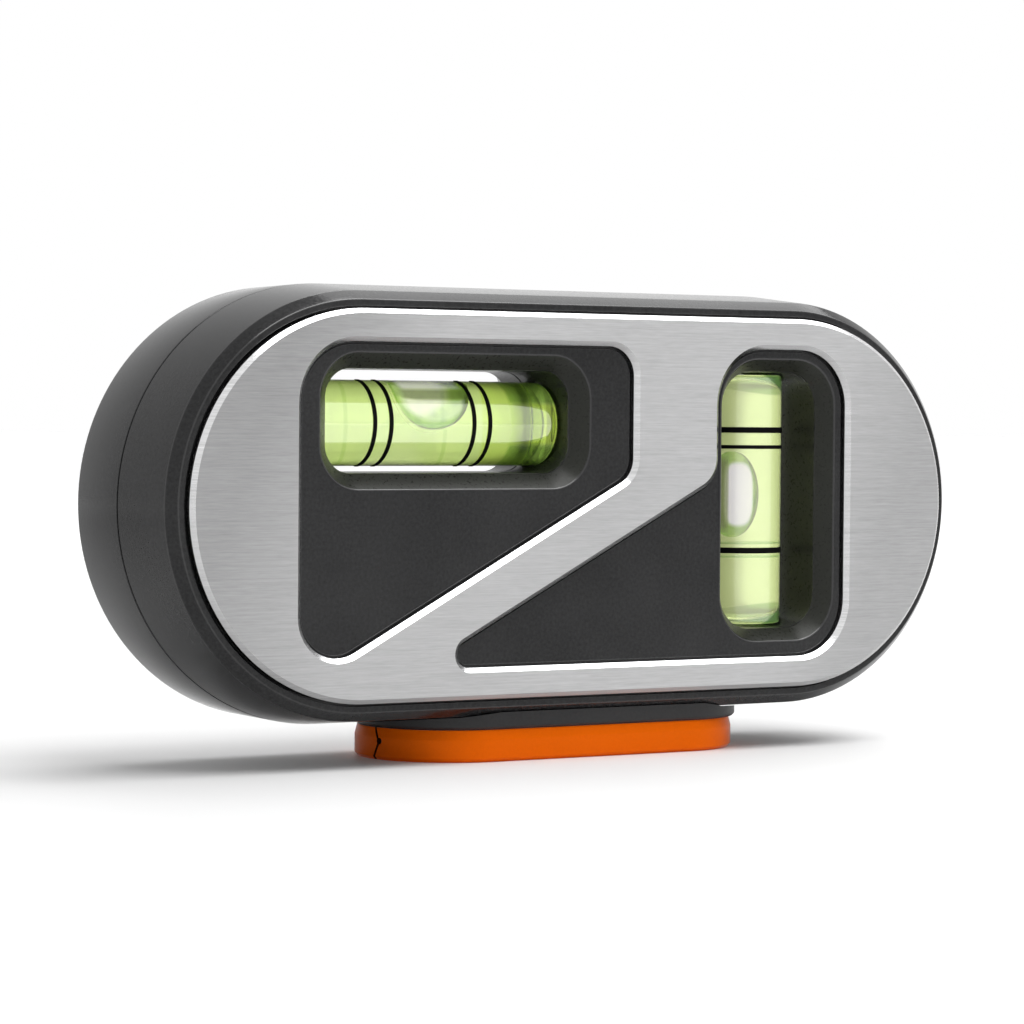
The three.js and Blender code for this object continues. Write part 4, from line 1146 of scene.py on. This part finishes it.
# The liquids' glow is painted light
LEVEL_LIQUID = clear_solid("level_liquid", (0.84, 0.92, 0.56), 0.95, 0.05, (0.75, 0.9, 0.3))[0].material
PLUMB_LIQUID = clear_solid("plumb_liquid", (0.78, 0.80, 0.62), 0.95, 0.2, (0.75, 0.78, 0.50))[0].material
LEVEL_AIR = bubble_air(
    "level_air", level_spot, math.pi / 2,
    along=(-17.05, 3.7), out=(2.2, 2.0), line=(0.0, 0.45), shape=2.0, closed=False,
)
PLUMB_AIR = bubble_air(
    "plumb_air", plumb_spot, PLUMB_LINE_ANGLE,
    along=(0.9, 3.7), out=(0.35, 1.5), line=(0.68, 1.25), shape=3.0, closed=True,
)


def dress(item, *materials):
    for material in materials:
        item.data.materials.append(material)


def put(item, nodes, body, slot, *materials):
    dress(item, *materials)
    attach(item, body)
    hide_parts(*nodes)


def carried(node, material):
    """Gives a CAD node that stays in view its material."""
    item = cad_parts[node]
    item.data.materials.clear()
    item.data.materials.append(material)


put(front_shell(), ["front_housing"], "body", "shell", SHELL, WINDOW_PAINTED_LIGHT, EDGE_PAINTED_HIGHLIGHT)
put(rear_shell(), ["rear_housing"], "body", "shell", SHELL, WINDOW_PAINTED_LIGHT, EDGE_PAINTED_HIGHLIGHT)
put(face_plate(), ["face_plate"], "body", "plate", STEEL, BEVEL_POLISH_AND_PAINTED_LIGHT)

VIALS = (
    ("level", level_spot, level_low, level_high, LEVEL_VIAL_EDGE, LEVEL_ENDS, LEVEL_ACRYLIC, LEVEL_LIQUID),
    ("plumb", plumb_spot, plumb_low, plumb_high, PLUMB_VIAL_EDGE, PLUMB_ENDS, PLUMB_ACRYLIC, PLUMB_LIQUID),
)
BUBBLES = (("level", level_spot, LEVEL_BUBBLE, LEVEL_AIR), ("plumb", plumb_spot, PLUMB_BUBBLE, PLUMB_AIR))
LINES = (("level", level_spot, LEVEL_RINGS, 0), ("plumb", plumb_spot, PLUMB_RINGS, -math.pi / 2))
for vial, spot, low, high, edge, ends, acrylic, liquid in VIALS:
    tube = vial_body(f"{vial}_vial_body", spot, low, high, edge)
    put(tube, [f"{vial}_vial", f"{vial}_vial_plug"], "body", "vial", acrylic)
    filling = vial_liquid(f"{vial}_liquid", spot, low, high, *ends)
    put(filling, [f"{vial}_vial_liquid"], "body", "liquid", liquid)
for vial, spot, sizes, air in BUBBLES:
    put(bubble(f"{vial}_air_bubble", spot, *sizes), [f"{vial}_bubble"], f"{vial}_air", "air", air)
for vial, spot, rings, front in LINES:
    for i, (at, width) in enumerate(rings, 1):
        line = ring_line(f"{vial}_line_{i}", spot, at, front, width, RING_REACH)
        put(line, [f"{vial}_ring_{i}"], "body", "line", LINE)

put(foot(), ["foot"], "body", "shell", FOOT)
put(base_half("base_front_half", -1), ["base_front"], "body", "base", ORANGE, SEAM_PAINTED_SHADE)
put(base_half("base_rear_half", 1), ["base_rear"], "body", "base", ORANGE, SEAM_PAINTED_SHADE)
for i, spot in enumerate(SCREW_PLACES, 1):
    put(screw(f"screw_{i}", spot), [f"housing_screw_{i}"], "body", "fastener", BLACK_STEEL)

carried("adhesive_sheet", SHEET)
for node in ("magnet_left", "magnet_right"):
    carried(node, MAGNET)
for node in ("base_pin_left", "base_pin_right"):
    carried(node, BLACK_STEEL)

# Camera: fitted to the plate's outline and the housing's edges in the photograph, in millimetres
CAMERA_YAW = math.radians(-32.92)
CAMERA_PITCH = math.radians(1.532)
CAMERA_ROLL = math.radians(0.458)
CAMERA_DISTANCE = 408.745
CAMERA_ACROSS = -8.63
CAMERA_UP = -0.903
CAMERA_LENS = 127.27
CAMERA_CLIP = (0.01, 20)
# The plane that the camera was fitted to lies this far behind the plate's front
FIT_PLANE_DEPTH = 0.65


def make_camera():
    back = Vector((
        math.sin(CAMERA_YAW) * math.cos(CAMERA_PITCH),
        -math.cos(CAMERA_YAW) * math.cos(CAMERA_PITCH),
        math.sin(CAMERA_PITCH),
    ))
    level_right_axis = Vector((math.cos(CAMERA_YAW), math.sin(CAMERA_YAW), 0))
    level_up_axis = level_right_axis.cross(-back)
    right = level_right_axis * math.cos(CAMERA_ROLL) + level_up_axis * math.sin(CAMERA_ROLL)
    up = level_up_axis * math.cos(CAMERA_ROLL) - level_right_axis * math.sin(CAMERA_ROLL)
    spot = back * CAMERA_DISTANCE + level_right_axis * CAMERA_ACROSS + level_up_axis * CAMERA_UP
    data = bpy.data.cameras.new("camera")
    data.lens = CAMERA_LENS
    data.clip_start, data.clip_end = CAMERA_CLIP
    camera = bpy.data.objects.new("camera", data)
    turn = Matrix((right, up, back)).transposed().to_4x4()
    camera.matrix_world = Matrix.Translation(place(spot.x, FIT_PLANE_DEPTH + spot.y, spot.z)) @ turn
    bpy.context.collection.objects.link(camera)
    bpy.context.scene.camera = camera


make_camera()


# Floor, background and light
def light_path_sum(tree):
    """1 for what the camera, metal and glass see, and 0 for light that falls on surfaces."""
    path = tree.nodes.new("ShaderNodeLightPath")
    total = path.outputs["Is Camera Ray"]
    for name in ("Is Glossy Ray", "Is Transmission Ray"):
        add = tree.nodes.new("ShaderNodeMath")
        add.operation = "ADD"
        add.use_clamp = True
        tree.links.new(total, add.inputs[0])
        tree.links.new(path.outputs[name], add.inputs[1])
        total = add.outputs[0]
    return total


WORLD_LEVEL = 0.31
# What the camera sees added to the floor's own light, close to the level and far from it
FLOOR_GLOW_NEAR = 0.03
FLOOR_GLOW_FAR = 0.6
FLOOR_NEAR = 0.25
FLOOR_FAR = 0.9
FLOOR_SIZE = 12
FLOOR_GREYS = (0.84, 0.86)

# Lamps: the place, the width, the height and the power; all of them point at one spot
LAMPS = {
    "top_softbox": ((0.44, 0.14, 0.74), 0.8, 0.55, 4.6),
    "front_softbox": ((0.19, -0.36, 0.93), 0.8, 0.55, 6.6),
}
LAMP_AIM = (0, 0, 0.03)


def make_world():
    world = bpy.data.worlds.new("studio")
    world.use_nodes = True
    tree = world.node_tree
    background = tree.nodes["Background"]
    strength = tree.nodes.new("ShaderNodeMapRange")
    strength.inputs["To Min"].default_value = WORLD_LEVEL
    strength.inputs["To Max"].default_value = 1.0
    tree.links.new(light_path_sum(tree), strength.inputs["Value"])
    tree.links.new(strength.outputs["Result"], background.inputs["Strength"])
    background.inputs["Color"].default_value = (1, 1, 1, 1)
    bpy.context.scene.world = world


def make_floor():
    bpy.ops.mesh.primitive_plane_add(size=FLOOR_SIZE, location=(0, 0, 0))
    floor = bpy.context.object
    floor.name = "floor"
    surface = Surface("floor_white")
    greys = [(level, level, level) for level in FLOOR_GREYS]
    distance = surface.add("ShaderNodeVectorMath", operation="LENGTH")
    surface.join(surface.coordinate(), distance.inputs[0])
    glow = surface.ramp(distance.outputs["Value"], FLOOR_NEAR, FLOOR_FAR, FLOOR_GLOW_NEAR, FLOOR_GLOW_FAR)
    surface.drive(
        Base_Color=surface.mix(surface.ramp(surface.noise(*FLOOR_CLOUD), *NOISE_RANGE), *greys),
        Emission_Strength=surface.product(light_path_sum(surface.material.node_tree), glow),
    )
    surface.set(Roughness=0.6, Emission_Color=(1, 1, 1, 1))
    dress(floor, surface.material)


def area_light(name, spot, width, height, power):
    data = bpy.data.lights.new(name, "AREA")
    data.shape = "RECTANGLE"
    data.size = width
    data.size_y = height
    data.energy = power
    lamp = bpy.data.objects.new(name, data)
    lamp.location = spot
    lamp.rotation_euler = (Vector(LAMP_AIM) - Vector(spot)).to_track_quat("-Z", "Y").to_euler()
    bpy.context.collection.objects.link(lamp)


make_world()
make_floor()
for name, lamp in LAMPS.items():
    area_light(name, *lamp)
